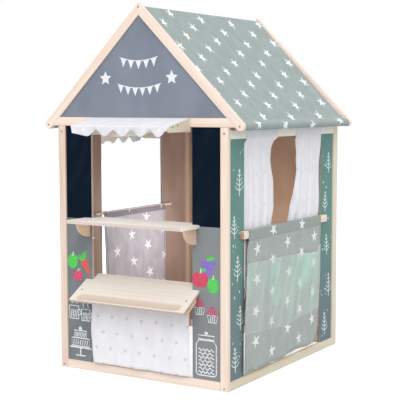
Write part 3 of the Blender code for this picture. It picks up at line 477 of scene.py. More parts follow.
def soften_edges():
    """A modifier group: joins the facets and shades round a piece's eased edges."""
    group = bpy.data.node_groups.new("soft_edges", "GeometryNodeTree")
    for direction in ("INPUT", "OUTPUT"):
        group.interface.new_socket("Geometry", in_out=direction, socket_type="NodeSocketGeometry")
    start, end, merge, angle, sharp, normals = (
        group.nodes.new(kind)
        for kind in (
            "NodeGroupInput",
            "NodeGroupOutput",
            "GeometryNodeMergeByDistance",
            "GeometryNodeInputMeshEdgeAngle",
            "FunctionNodeCompare",
            "GeometryNodeSetMeshNormal",
        )
    )
    merge.inputs["Distance"].default_value = 1e-5
    sharp.data_type = "FLOAT"
    sharp.operation = "GREATER_THAN"
    sharp.inputs[1].default_value = EDGE_ANGLE
    normals.mode = "SHARPNESS"
    normals.inputs["Remove Custom"].default_value = True
    for source, target in (
        (start, merge.inputs["Geometry"]),
        (merge, normals.inputs["Mesh"]),
        (angle, sharp.inputs[0]),
        (sharp, normals.inputs["Edge Sharpness"]),
        (normals, end.inputs[0]),
    ):
        group.links.new(source.outputs[0], target)
    return group


SOFT_EDGES = soften_edges()


def dress(names, material):
    """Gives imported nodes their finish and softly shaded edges. Their meshes stay as they are."""
    for name in names.split():
        node = NODES[name]
        node.data.materials[0] = material
        soft = node.modifiers.new("soft_edges", "NODES")
        soft.node_group = SOFT_EDGES
        weighted = node.modifiers.new("flat_faces", "WEIGHTED_NORMAL")
        weighted.keep_sharp = True


def dress_wood():
    pine = paints((248, 232, 219), (234, 205, 184))
    # A duller, yellower copy of the pine: painted shade for the side rails, also used on the other pieces
    # that run front to back
    rail = paints((234, 226, 205), (218, 204, 176))
    # Brown painted shade on the back left post's faces that look forward and to the right, into the house
    brown = paint(196, 166, 148)
    shaded_faces = [(FORWARDS, brown), (X_AXIS, brown)]
    shaded_pine_y = wood("shaded_pine_y", rail, Y_AXIS)
    dress("left_bottom_rail right_bottom_rail ridge_bar left_eave_bar right_eave_bar left_bar", shaded_pine_y)
    dress("front_awning_arm_left front_awning_arm_right left_awning_slat", shaded_pine_y)
    pine_x = wood("pine_x", pine, X_AXIS)
    dress("front_bottom_rail back_bottom_rail front_tie_beam back_tie_beam lower_shelf_rail", pine_x)
    dress("front_awning_slat front_cloth_rod left_awning_arm_front left_awning_arm_back", pine_x)
    dress("front_post_right front_rod_holder_left front_rod_holder_right", wood("pine_z", pine, Z_AXIS))
    # A darker copy of the pine: painted shade on the left front post; its bolder streaks are grain
    shaded_left_post = paints((238, 216, 201), (218, 189, 171))
    dress("front_post_left", wood("pine_left_post_shaded", shaded_left_post, Z_AXIS, bold=1.3))
    dress("back_post_left", wood("pine_back_left_shaded", pine, Z_AXIS, faces=shaded_faces))
    # A duller copy of the pine: painted shade on the back right post's side face
    shaded_right_post = paints((234, 226, 208), (220, 204, 180))
    dress("back_post_right", wood("pine_back_right_shaded", shaded_right_post, Z_AXIS))
    # A paler copy of the pine: painted light on the side top rails, which lie in the roof's shadow
    lit_top_rail = paints((254, 251, 240), (248, 240, 224))
    dress("left_top_rail right_top_rail", wood("pine_top_rail_lit", lit_top_rail, Y_AXIS))
    # The bar's front end face is painted orange-brown: the end grain's own darker tone together with painted
    # shade
    dress("door_bar", wood("pine_bar_shaded_end", pine, Y_AXIS, faces=[(FORWARDS, paint(196, 148, 118))]))
    dress("front_rafter_left back_rafter_left", wood("pine_left_slope", pine, (1.0, 0.0, 1.0)))
    dress("front_rafter_right back_rafter_right", wood("pine_right_slope", pine, (-1.0, 0.0, 1.0)))
    # A near-white copy of the birch: painted light on the upper shelf's brightly lit top
    lit_birch = paints((254, 250, 244), (246, 234, 220))
    # The shelf's front edge: the ply edge's own darker tone together with painted shade
    ply_edge_and_shade = paint(214, 196, 186)
    dress("upper_shelf", wood("birch_x_lit", lit_birch, X_AXIS, 0.48, 0.6, faces=[(FORWARDS, ply_edge_and_shade)]))
    # A darker copy of the birch: painted shade on the lower shelf
    lower = paints((230, 222, 213), (217, 203, 187))
    face = (0.0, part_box("front_panel_left")[0].y, SHELF_TOP)
    # A darker, warmer tint painted in the routed trough as shade
    trough_shade = (face, SHELF_NORMAL, paint(202, 180, 164))
    dress("lower_shelf", wood("birch_trough_shaded", lower, X_AXIS, 0.48, 0.6, trough_shade))
    # A darker, warmer copy of the birch: painted shade on the shelf brackets and cheeks
    shaded_bracket = wood("birch_y_shaded", paints((236, 210, 182), (214, 180, 148)), Y_AXIS, 0.48, 0.8)
    dress("upper_bracket_left upper_bracket_right lower_shelf_cheek_left lower_shelf_cheek_right", shaded_bracket)


def dress_boards():
    front_board = panel("front_board", FORWARDS, chalkboard_paint, PALE_BOARD_EDGE)
    dress("front_panel_left front_panel_right", front_board)
    dress("front_gable_panel", panel("front_gable", FORWARDS, gable_paint))
    dress("back_gable_panel", panel("back_gable", Y_AXIS, gable_paint))
    dress("back_wall_panel", panel("back_board", Y_AXIS, teal_paint, raw=BACK_BOARD))
    dress("left_panel_front left_panel_back", panel("left_board", LEFTWARDS, teal_paint))
    dress("right_panel_front right_panel_back", panel("right_board", X_AXIS, teal_paint))


def add(name, data):
    """A new object in the scene."""
    made = bpy.data.objects.new(name, data)
    bpy.context.scene.collection.objects.link(made)
    return made


def new_mesh(name, points, faces, *materials):
    mesh = bpy.data.meshes.new(name)
    mesh.from_pydata([tuple(point) for point in points], [], faces)
    for material in materials:
        mesh.materials.append(material)
    return mesh


class Wall:
    """A vertical working frame: s runs along the wall, out runs away from it, and z is up."""

    def __init__(self, origin, along, outward):
        vectors = (origin, along, outward)
        self.origin, self.along, self.outward = (np.array(vector, float) for vector in vectors)

    def points(self, s, out, z):
        """World points of s, out and z, as broadcast to one shape."""
        s, out, z = np.broadcast_arrays(s, out, z)
        up = np.array(Z_AXIS)
        return self.origin + s[..., None] * self.along + out[..., None] * self.outward + z[..., None] * up

    def hung(self, section, edges, drop, relief, ends=None, grid=GRID):
        """World points of a cloth: its sleeve's section from end to end, then the hanging rows below it.

        edges are the hanging sides' places by drop share. relief gives out and z by s, share and unit.
        """
        left, right = edges
        start, end = ends or (left(0.0), right(0.0))
        unit = shares_of(steps(end - start, grid))
        share = shares_of(steps(drop))[1:, None]
        s = left(share) + (right(share) - left(share)) * unit
        sleeve = self.points(start + (end - start) * unit, section[:, 0, None], section[:, 1, None])
        return np.concatenate([sleeve, self.points(s, *relief(s, share, unit))])


RIGHT_WALL = Wall((0.0, 0.0, 0.0), Y_AXIS, X_AXIS)


def steps(length, size=GRID):
    return max(2, round(length / size))


def shares_of(count):
    """Shares of a length, from 0 to 1 in even steps."""
    return np.linspace(0.0, 1.0, count + 1)


def arc(centre, radius, start, end, count):
    """Points on a round arc, in degrees."""
    angles = np.radians(np.linspace(start, end, count + 1))
    return np.stack([centre[0] + radius * np.cos(angles), centre[1] + radius * np.sin(angles)], axis=1)


def run_lengths(points, axis):
    """How far each point lies from the first, measured over the cloth along one axis of its grid."""
    lengths = np.linalg.norm(np.diff(points, axis=axis), axis=2)
    start = np.zeros_like(np.take(lengths, [0], axis=axis))
    return np.concatenate([start, np.cumsum(lengths, axis=axis)], axis=axis)


def cloth(name, points, material, slot, hems, corner, held, rests_on, thickness=PLY, lean=None):
    """A sheet of cloth from a grid of points, its first row at the top and its first column at the left.

    corner is the print's place at the first point. lean may bend the print's layout on the cloth.
    """
    across = run_lengths(points, 1)
    down = run_lengths(points, 0)
    edges = {"left": across, "right": across[:, -1:] - across, "top": down, "bottom": down[-1:, :] - down}
    hem = np.minimum.reduce([edges[edge] for edge in hems])
    grid = np.arange(hem.size).reshape(hem.shape)
    faces = np.stack([grid[:-1, :-1], grid[1:, :-1], grid[1:, 1:], grid[:-1, 1:]], axis=-1)
    mesh = new_mesh(name, points.reshape(-1, 3), faces.reshape(-1, 4).tolist(), material)
    layout = np.stack([corner[0] + across, corner[1] - down], axis=2)
    if lean:
        layout = lean(layout)
    layer = mesh.uv_layers.new(name="print")
    order = np.zeros(len(mesh.loops), np.int32)
    mesh.loops.foreach_get("vertex_index", order)
    layer.data.foreach_set("uv", layout.reshape(-1, 2)[order].astype(np.float32).ravel())
    distance = mesh.attributes.new("hem_distance", "FLOAT", "POINT")
    distance.data.foreach_set("value", hem.astype(np.float32).ravel())
    mesh.shade_smooth()
    piece = add(name, mesh)
    doubled = piece.vertex_groups.new(name="hem")
    doubled.add(np.flatnonzero(hem <= HEM_WIDTH).tolist(), 1.0, "REPLACE")
    solid = piece.modifiers.new("cloth_thickness", "SOLIDIFY")
    solid.thickness = thickness
    solid.offset = 0.0
    solid.vertex_group = "hem"
    solid.thickness_vertex_group = HEM_THINNING
    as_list(rests_on)
    return piece


def waves(s, drop, *parts):
    """A cloth's soft folds: sine waves of (depth, pitch, phase, drift with the drop)."""
    return sum(
        depth * np.sin(TAU * (s / pitch + phase + drift * drop)) for depth, pitch, phase, drift in parts
    )


def crease(s, place, depth, width):
    """One soft fold along a line."""
    return depth * np.exp(-(((s - place) / width) ** 2))


def eased(stations, values):
    """A curve that passes through the values at the stations and is level there."""
    stations, values = np.array(stations), np.array(values)

    def curve(shares):
        index = np.clip(np.searchsorted(stations, shares) - 1, 0, len(stations) - 2)
        local = (shares - stations[index]) / (stations[index + 1] - stations[index])
        local = np.clip(local, 0.0, 1.0)
        return values[index] + (values[index + 1] - values[index]) * (local * local * (3 - 2 * local))

    return curve


def grown(share, swell):
    """How far the folds have come out: all the way from a drop share of 1 / swell on."""
    return np.sin(math.pi / 2 * np.minimum(1.0, share * swell))


def middle(node):
    low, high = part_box(node)
    return (low + high) / 2


EAVE = middle("right_eave_bar")
RIDGE = middle("ridge_bar")
BAR_RADIUS = (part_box("ridge_bar")[1].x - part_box("ridge_bar")[0].x) / 2
ROOF_LOW, ROOF_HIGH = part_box("roof_cover")
ROOF_GRID = 0.008
ROOF_PITCH = math.radians(45)
ROOF_POCKET = 0.028
ROOF_SAG = 0.003
ROOF_DIP = 0.0008


def roof_half():
    """The roof cloth's right half in X and Z: a rod pocket round the eave bar, the slope and the ridge."""
    radius = BAR_RADIUS + CLOTH_OFFSET
    slope_in = np.array([-math.cos(ROOF_PITCH), math.sin(ROOF_PITCH)])
    outward = np.array([math.sin(ROOF_PITCH), math.cos(ROOF_PITCH)])
    eave = np.array([EAVE.x, EAVE.z])
    ply = (PLY + 2 * CLOTH_GAP) / 2
    leaves = math.degrees(math.acos(radius / ROOF_POCKET))
    up_slope = 180 - math.degrees(ROOF_PITCH)
    pocket = arc(eave, radius, up_slope + leaves - 360, up_slope - leaves, 24)
    under_seam = eave + slope_in * ROOF_POCKET - outward * ply
    seam = eave + slope_in * ROOF_POCKET + outward * ply
    under = np.linspace(under_seam, pocket[0], 4)[:-1]
    over = np.linspace(pocket[-1], seam, 4)[1:-1]
    centre = np.array([0.0, RIDGE.z])
    away = seam - centre
    bearing = math.atan2(away[1], away[0]) + math.acos(radius / np.linalg.norm(away))
    ridge = arc(centre, radius, math.degrees(bearing), 90, 6)
    shares = shares_of(59)[:-1]
    sag = ROOF_SAG * 4 * shares * (1 - shares)
    slope = seam + shares[:, None] * (ridge[0] - seam) - sag[:, None] * outward
    return np.concatenate([under, pocket, over, slope, ridge]), len(under) + len(pocket) + len(over)


def roof_cloth():
    """The roof: one cloth from eave to eave, stretched between the rafters."""
    half, seam_row = roof_half()
    section = np.concatenate([half, half[-2::-1] * np.array([-1.0, 1.0])])
    first, last = ROOF_LOW.y + PLY / 2, ROOF_HIGH.y - PLY / 2
    depth = np.linspace(first, last, steps(ROOF_HIGH.y - ROOF_LOW.y, ROOF_GRID) + 1)
    points = np.zeros((len(section), len(depth), 3))
    points[..., 0] = section[:, None, 0]
    points[..., 1] = depth[None, :]
    points[..., 2] = section[:, None, 1]
    runs = run_lengths(points, 0)[:, 0]
    seam_run = runs[seam_row]
    inside = np.minimum(runs - seam_run, (runs[-1] - seam_run) - runs)
    slack = np.sin(math.pi * np.clip(inside / ((runs[-1] - 2 * seam_run) / 2), 0.0, 1.0)) ** 2
    up_slope = (runs - seam_run + ROOF_POCKET)[:, None]
    ripple = waves(depth[None, :], up_slope, (0.0011, 0.29, 0.1, 0.7), (0.0007, 0.17, 0.4, -1.1))
    side = np.where(np.arange(len(section))[:, None] < len(half), 1.0, -1.0)
    lift = slack[:, None] * (ripple - ROOF_DIP)
    points[..., 0] += side * math.sin(ROOF_PITCH) * lift
    points[..., 2] += math.cos(ROOF_PITCH) * lift

    def lean(layout):
        """The print runs slightly askew to the cloth's edges, and its columns spread towards the back."""
        start, pitch, widening = 0.110, 0.097, 0.0031
        back, height = layout[..., 0], float(ROOF_POCKET - seam_run) - layout[..., 1]
        away = np.maximum(back - 0.1 * height - start, -(pitch**2) / 4.2 / widening)
        column = (-pitch + np.sqrt(pitch**2 + 4 * widening * away)) / (2 * widening)
        dip = 0.022 * np.sin(math.pi * np.clip((back - 0.12) / 0.70, 0.0, 1.0))
        return np.stack([ROOF_STARS["across"] * column, height + dip], axis=-1)

    bars = ["ridge_bar", "left_eave_bar", "right_eave_bar"]
    finish = (ROOF_FABRIC, "roof_cloth", ("left", "right"), (float(depth[0]), 0.0), "stretched", bars)
    piece = cloth("roof_fabric", points, *finish, lean=lean)
    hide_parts("roof_cover")
    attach(piece, ROOT)


ARM_CENTRE = 0.2069
ARM_HALF = 0.0065
ARM_RUN = 0.125
ARM_DROP = 0.0244
ARM_FALL = math.atan2(ARM_DROP, ARM_RUN)
SLAT_REACH = 0.128
SLAT_WIDTH = 0.056
SLAT_HALF = 0.006
VALANCE_OUT = 0.138
VALANCE_NOSE = 0.005
VALANCE_GRID = 0.0045
TIP_DROP = 0.0635
ARCH_DROP = 0.040
END_DROP = 0.052
SCALLOP = 0.0772
SCALLOP_PHASE = 0.0152
AWNING_INSET = 0.002
AWNING_BELLY = 0.0012
END_PULL = 0.012
END_FLARE = 0.006


def awning_walls():
    """The two awnings' places: the middle of each root, along the wall and away from it."""
    beam_low, beam_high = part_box("front_tie_beam")
    front = (middle("front_awning_slat").x, beam_low.y, beam_high.z - AWNING_INSET)
    left_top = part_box("left_awning_arm_front")[1].z
    left = (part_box("left_bottom_rail")[0].x, middle("left_awning_slat").y, left_top)
    return Wall(front, X_AXIS, FORWARDS), Wall(left, FORWARDS, LEFTWARDS)


def awning_cloth(wall, side, arms):
    """A cloth that lies on two arms and a slat, turns over the arms' tips and ends in a scalloped valance."""
    wide = ARM_CENTRE + ARM_HALF
    nose_out = VALANCE_OUT - VALANCE_NOSE
    nose_up = CLOTH_OFFSET - nose_out * math.tan(ARM_FALL) - VALANCE_NOSE / math.cos(ARM_FALL)
    nose = arc((nose_out, nose_up), VALANCE_NOSE, 90 - math.degrees(ARM_FALL), 0, 6)
    root = np.array([CLOTH_OFFSET, CLOTH_OFFSET / math.cos(ARM_FALL)])
    slope_shares = shares_of(23)[:-1]
    slope = root + slope_shares[:, None] * (nose[0] - root)
    top = np.concatenate([slope, nose])
    s = np.linspace(-wide, wide, steps(2 * wide, VALANCE_GRID) + 1)
    hang_shares = shares_of(14)[1:, None]
    wave = 0.5 + 0.5 * np.cos(TAU * (s - SCALLOP_PHASE) / SCALLOP)
    last_tip = SCALLOP_PHASE - 2 * SCALLOP
    slack = np.clip((last_tip - s) / (last_tip + wide), 0.0, 1.0)
    hem = ARCH_DROP + (TIP_DROP - ARCH_DROP) * wave**0.8
    hem = np.where(s < last_tip, TIP_DROP + (END_DROP - TIP_DROP) * slack, hem)
    across, out, up = (np.tile(row, (len(top), 1)) for row in (s, 0.0 * s, 0.0 * s))
    ripple = waves(s, slope[:, :1], (0.0006, 0.11, 0.2, 4.0), (0.0004, 0.047, 0.5, -9.0))
    span = np.clip(1.0 - np.abs(s) / (ARM_CENTRE - 0.01), 0.0, 1.0) ** 0.5
    out += top[:, :1]
    up += top[:, 1:]
    up[: len(slope)] += span * (AWNING_BELLY + ripple) * np.sin(math.pi * slope_shares)[:, None]
    flare = 0.0045 * (wave - 0.55) + waves(s, 0.0, (0.0014, 0.19, 0.3, 0.0), (0.0009, 0.067, 0.7, 0.0))
    ends = np.clip((np.abs(s) / wide - 0.80) / 0.20, 0.0, 1.0) ** 2
    hang_s = s - END_PULL * np.sign(s) * ends * hang_shares
    hang_out = nose[-1, 0] + (flare + END_FLARE * ends) * hang_shares**1.3
    hang_up = nose[-1, 1] + (-hem - nose[-1, 1]) * hang_shares
    rows = ((across, hang_s), (out, hang_out), (up, hang_up))
    points = wall.points(*(np.concatenate(pair) for pair in rows))
    name, corner = side + "_awning_fabric", (0.012, 0.03)
    rests_on = [f"{side}_awning_arm_{arm}" for arm in arms] + [side + "_awning_slat"]
    finish = (AWNING_FABRIC, "white_cloth", THREE_HEMS, corner, "stretched", rests_on, AWNING_PLY)
    piece = cloth(name, points, *finish)
    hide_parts(side + "_awning_cloth")
    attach(piece, ROOT)


def rod_sleeve(radius):
    """A round sleeve about a bar, in out and z, from its inner seam over the bar to the outer side."""
    seam = np.array([radius - PLY - 2 * CLOTH_GAP, -2 * radius])
    ring = arc((0.0, 0.0), radius, -50, -360, 20)
    return np.concatenate([np.linspace(seam, ring[0], 4)[:-1], ring])


def bar_sleeve(seam, box, counts):
    """A sleeve round a flat bar, in out and z: from its inner seam over the bar to the outer side's foot."""
    low, high = box
    left, right = low.x - CLOTH_OFFSET, high.x + CLOTH_OFFSET
    bottom, top = low.z - CLOTH_OFFSET, high.z + CLOTH_OFFSET
    bend = SLEEVE_BEND
    return np.concatenate(
        [
            np.linspace((seam, bottom), (left + bend, bottom), counts[0])[:-1],
            arc((left + bend, bottom + bend), bend, -90, -180, 3),
            np.linspace((left, bottom + bend), (left, top - bend), 5)[1:-1],
            arc((left + bend, top - bend), bend, 180, 90, 3),
            np.linspace((left + bend, top), (right - bend, top), counts[1])[1:-1],
            arc((right - bend, top - bend), bend, 90, 0, 3),
            np.linspace((right, top - bend), (right, bottom), 8)[1:],
        ]
    )


def rod_cloth(name, node, rod_name, wall, ends, edges, folds, swell, **finish):
    """A cloth with a round sleeve, hanging with soft folds."""
    low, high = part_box(rod_name)
    radius = (high.z - low.z) / 2 + CLOTH_OFFSET
    drop = middle(rod_name).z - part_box(node)[0].z

    def relief(s, share, unit):
        return radius + grown(share, swell) * folds(s, share), -drop * share

    points = wall.hung(rod_sleeve(radius), edges, drop, relief, ends)
    piece = cloth(name, points, hems=THREE_HEMS, held="hung", rests_on=[rod_name], **finish)
    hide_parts(node)
    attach(piece, node)


def front_cloth():
    rod = middle("front_cloth_rod")
    wall = Wall((0.0, rod.y, rod.z), X_AXIS, FORWARDS)
    left = eased((0.0, 0.25, 0.55, 0.80, 1.0), (-0.2195, -0.216, -0.2225, -0.216, -0.211))
    right = eased((0.0, 0.4, 0.7, 1.0), (0.2195, 0.2175, 0.2165, 0.2185))

    def folds(s, share):
        parts = (0.0022, 0.165, 0.15, 0.25), (0.0013, 0.088, 0.6, -0.3), (0.0006, 0.041, 0.2, 0.5)
        return waves(s, share, *parts) + crease(s, -0.130 - 0.006 * share, 0.0022, 0.010)

    def askew(layout):
        """The print climbs a little to the right of straight."""
        across, up = layout[..., 0], layout[..., 1]
        return np.stack([across - 0.09 * (up - 0.244), up], axis=-1)

    finish = dict(material=STARRED_WHITE, slot="white_cloth", corner=(0.0353, 0.3881), lean=askew)
    names = ("front_hanging_cloth", "front_cloth", "front_cloth_rod")
    rod_cloth(*names, wall, (-0.2205, 0.2205), (left, right), folds, 1.7, **finish)


def left_cloth():
    rod = middle("left_bar")
    wall = Wall((rod.x, 0.0, rod.z), Y_AXIS, X_AXIS)
    left = eased((0.0, 0.07, 0.33, 0.6, 1.0), (0.2395, 0.2375, 0.247, 0.252, 0.255))
    right = eased((0.0, 0.08, 0.35, 0.6, 1.0), (0.677, 0.688, 0.689, 0.682, 0.676))

    def folds(s, share):
        parts = (0.0030, 0.150, 0.10, 0.15), (0.0016, 0.083, 0.45, -0.2), (0.0008, 0.046, 0.2, 0.3)
        return waves(s, share, *parts) + crease(s, 0.300, 0.0060, 0.020) * share

    def askew(layout):
        """The print climbs to the front."""
        return np.stack([layout[..., 0] + 0.08 * layout[..., 1], layout[..., 1]], axis=-1)

    finish = dict(material=LILAC_FABRIC, slot="grey_cloth", corner=(-0.0713, 0.2089), lean=askew)
    rod_cloth("left_hanging_cloth", "left_cloth", "left_bar", wall, None, (left, right), folds, 1.4, **finish)


DOOR_START, DOOR_END = 0.1185, 0.7155
POCKET_FRONT, POCKET_SEAM, POCKET_BACK = 0.108, 0.425, 0.708
POCKET_SPAN = 0.6
POCKET_LIFT = 0.0022
BAG_DEPTH = 0.0062
GATHER_DEPTH = 0.0010
GATHER_PITCH = 0.043


def door_cloth():
    """The door cloth and its sleeve in one piece, and the sheer pocket sewn on it."""
    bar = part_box("door_bar")
    plane = middle("door_cloth").x
    hem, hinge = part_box("door_cloth")[0].z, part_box("door_cloth")[1].z
    drop = hinge - hem
    ring = bar_sleeve(bar[1].x + CLOTH_OFFSET - 3 * PLY, bar, (5, 5))
    left = eased((0.0, 0.05, 0.20, 0.35, 0.60, 1.0), (DOOR_START, 0.1125, 0.1125, 0.1070, 0.100, 0.098))
    right = eased((0.0, 0.08, 0.35, 0.65, 0.85, 1.0), (DOOR_END, 0.724, 0.721, 0.710, 0.706, 0.694))
    settle = eased((0.0, 0.12, 1.0), (ring[-1, 0], plane, plane))
    uneven = eased((0.0, 0.45, 0.66, 0.83, 0.93, 1.0), (0.005, 0.005, 0.0145, 0.0100, 0.0125, 0.026))
    parts = (0.0024, 0.205, 0.05, 0.1), (0.0014, 0.118, 0.4, -0.25), (0.0007, 0.061, 0.2, 0.4)

    def relief(s, share, unit):
        out = settle(share) + grown(share, 2.2) * waves(s, share, *parts)
        return out, hinge - drop * share + uneven(unit) * share**3

    def sagging(layout):
        """The print is drawn towards the back in the cloth's middle, below its top."""
        across, up = layout[..., 0], layout[..., 1]
        middle_share = np.sin(math.pi * np.clip((across + 0.14) / 0.66, 0.0, 1.0))
        drawn = 0.024 * middle_share * np.clip((0.50 - up) / 0.14, 0.0, 1.0)
        return np.stack([across - drawn, up], axis=-1)

    points = RIGHT_WALL.hung(ring, (left, right), drop, relief)
    ring_length = float(np.linalg.norm(np.diff(ring, axis=0), axis=1).sum())
    corner = (DOOR_START - 0.186, hinge + ring_length - 0.033)
    finish = (DOOR_FABRIC, "grey_cloth", THREE_HEMS, corner, "hung", ["door_bar"])
    piece = cloth("door_fabric", points, *finish, lean=sagging)
    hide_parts("door_cloth", "door_cloth_sleeve")
    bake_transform(piece)

    # The pocket: two bags side by side, loose at the top edge, sewn down at the sides, foot and middle seam
    pocket_low, pocket_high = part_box("door_pocket")
    level = shares_of(steps(pocket_high.z - pocket_low.z))[:, None]
    share = (hinge - pocket_high.z + (pocket_high.z - pocket_low.z) * level) / drop
    unit = shares_of(steps(DOOR_END - DOOR_START))
    s = left(share) + (right(share) - left(share)) * unit
    out, z = relief(s, share, unit)
    front_bag = np.sin(math.pi * np.clip((s - POCKET_FRONT) / (POCKET_SEAM - POCKET_FRONT), 0.0, 1.0))
    back_bag = np.sin(math.pi * np.clip((s - POCKET_SEAM) / (POCKET_BACK - POCKET_SEAM), 0.0, 1.0))
    bag = np.where(s < POCKET_SEAM, front_bag, back_bag)
    loose = BAG_DEPTH * (1.0 - level**2)
    gathers = GATHER_DEPTH * np.sin(TAU * s / GATHER_PITCH + 5.0 * level) * (1.0 - level)
    out = out + (POCKET_LIFT + np.abs(bag) ** 0.7 * (loose + gathers))
    place = (s[0] - POCKET_FRONT) / POCKET_SPAN
    rise = eased((0.0, 0.30, 0.53, 0.95, 1.0), (0.005, 0.003, -0.002, -0.016, 0.008))(place)
    sag = eased((0.0, 0.5, 1.0), (0.016, -0.002, 0.016))(place)
    z = z + rise * (1.0 - level) ** 2 + sag * level
    finish = (ORGANZA, "organza", (*THREE_HEMS, "top"), (0.0, 0.3), "hung", ["door_fabric"], SHEER_PLY)
    pocket = cloth("door_pocket_sheer", RIGHT_WALL.points(s, out, z), *finish)
    pocket.visible_shadow = False
    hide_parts("door_pocket")
    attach(pocket, "door_cloth")


CURTAIN_PLANE = 0.3575
CURTAIN_GRID = 0.004
TAIL_FADE = (0.022, 0.062)
TAIL_DROP = (0.558, 0.572, 0.860, 0.920)
BAR_HEIGHTS = (0.512, 0.530, 0.572, 0.600)
BAR_LIMITS = (0.380, 0.3658, 0.3658, 0.380)
TURNED_DEPTH = 0.009


def curtain(name, edges, phase, settle, turned=None, flared=0.0):
    """A curtain with a casing round the top rail. Its side edges are given by drop share.

    settle gives the drop shares at which the cloth, hung from the rail's outer side, has leant in.
    turned is a line down the cloth, as drop shares and places, where its edge is folded under.
    flared is the place across the wall that the first edge's tail is blown out to, below the door's bar.
    """
    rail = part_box("right_top_rail")
    right, bottom = rail[1].x + CLOTH_OFFSET, rail[0].z - CLOTH_OFFSET
    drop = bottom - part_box(name)[0].z
    plane = eased((0.0, *settle, 1.0), (right, 0.3645, 0.3605, CURTAIN_PLANE))
    coarse, fine = (0.0026, 0.062, phase, 0.12), (0.0015, 0.037, phase * 2.3, -0.2)
    folds = (coarse, fine, (0.0011, 0.110, phase * 0.7, 0.1))

    def relief(s, share, unit):
        cloth_s = (edges[1](0.0) - edges[0](0.0)) * unit
        out = plane(share) + grown(share, 4.0) * waves(cloth_s, share, *folds)
        if flared:
            near = np.interp(cloth_s, TAIL_FADE, (1.0, 0.0))
            out = out + near * np.interp(share, TAIL_DROP, (0.0, 1.0, 1.0, 0.0)) * (flared - out)
        if turned:
            fold_top = turned[0][0]
            depth = np.interp(share, (fold_top - 0.06, fold_top + 0.03), (0.0, TURNED_DEPTH))
            out = out + depth / (1.0 + np.exp(-(s - np.interp(share, *turned)) / 0.0012)) - depth * 0.5
        height = bottom - drop * share
        # The door's bar and its sleeve hold the curtains in
        return np.minimum(out, np.interp(height, BAR_HEIGHTS, BAR_LIMITS)), height

    ring = bar_sleeve(CURTAIN_PLANE - 2 * PLY, rail, (3, 4))
    points = RIGHT_WALL.hung(ring, edges, drop, relief, grid=CURTAIN_GRID)
    corner = (0.02 + phase * 0.05, 0.35)
    finish = (WHITE_FABRIC, "white_cloth", THREE_HEMS, corner, "gathered", ["right_top_rail"])
    piece = cloth(name + "_fabric", points, *finish)
    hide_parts(name)
    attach(piece, name)


def curtains():
    outer = eased((0.0, 0.573, 0.592, 0.82, 0.86, 1.0), (0.1215, 0.1215, 0.1140, 0.1140, 0.1215, 0.1215))
    places = (0.360, 0.345, 0.334, 0.330, 0.354, 0.357, 0.337, 0.355)
    inner = eased((0.0, 0.02, 0.06, 0.13, 0.28, 0.40, 0.52, 1.0), places)
    curtain("curtain_front", (outer, inner), 0.13, (0.03, 0.08), flared=0.3714)
    places = (0.516, 0.507, 0.523, 0.536, 0.517, 0.495, 0.482, 0.500)
    inner = eased((0.0, 0.02, 0.13, 0.21, 0.34, 0.45, 0.52, 1.0), places)
    outer = eased((0.0, 0.16, 0.29, 0.42, 0.52, 1.0), (0.735, 0.730, 0.7335, 0.7335, 0.730, 0.730))
    turned = ((0.36, 0.52, 1.0), (0.520, 0.552, 0.565))
    curtain("curtain_back", (inner, outer), 0.55, (0.25, 0.50), turned)


def lathe(name, profile, sides, material, shape_radius=None):
    """A turned mesh about Z from (radius, height) pairs. shape_radius may change a ring's radius by angle."""
    vertices, faces = [], []
    for index, (radius, height) in enumerate(profile):
        for side in range(sides):
            angle = TAU * side / sides
            reach = shape_radius(index, radius, angle) if shape_radius else radius
            vertices.append((reach * math.cos(angle), reach * math.sin(angle), height))
    for corner in range(0, (len(profile) - 1) * sides, sides):
        for side in range(sides):
            after = (side + 1) % sides
            faces.append((corner + side, corner + after, corner + sides + after, corner + sides + side))
    faces.append(tuple(range(sides))[::-1])
    faces.append(tuple(range((len(profile) - 1) * sides, len(profile) * sides)))
    mesh = new_mesh(name, vertices, faces, material)
    mesh.shade_smooth()
    return mesh


def seat(outward, point):
    """The transform that stands a turned mesh on a point, looking outwards."""
    turn = Vector(outward).to_track_quat("Z", "Y").to_matrix().to_4x4()
    turn.translation = point
    return turn


def screw_mesh(material):
    """A flat-headed furniture screw: a thin rim and a hexagon socket."""
    half, socket = SCREW_HEAD / 2, SCREW_HEAD * 0.23
    rim = [(half * 0.85, -SCREW_SUNK * 0.9), (half, -SCREW_SUNK * 0.3), (half, -0.0001), (half * 0.93, 0.0)]

    def hexagon(index, radius, angle):
        if index < len(rim):
            return radius
        return radius * math.cos(TAU / 12) / math.cos((angle % (TAU / 6)) - TAU / 12)

    profile = rim + [(half * 0.50, 0.0), (socket, -0.0002), (socket, -0.0010)]
    mesh = lathe("screw", profile, 24, material, hexagon)
    mesh.set_sharp_from_angle(angle=SCREW_EDGE_ANGLE)
    return mesh


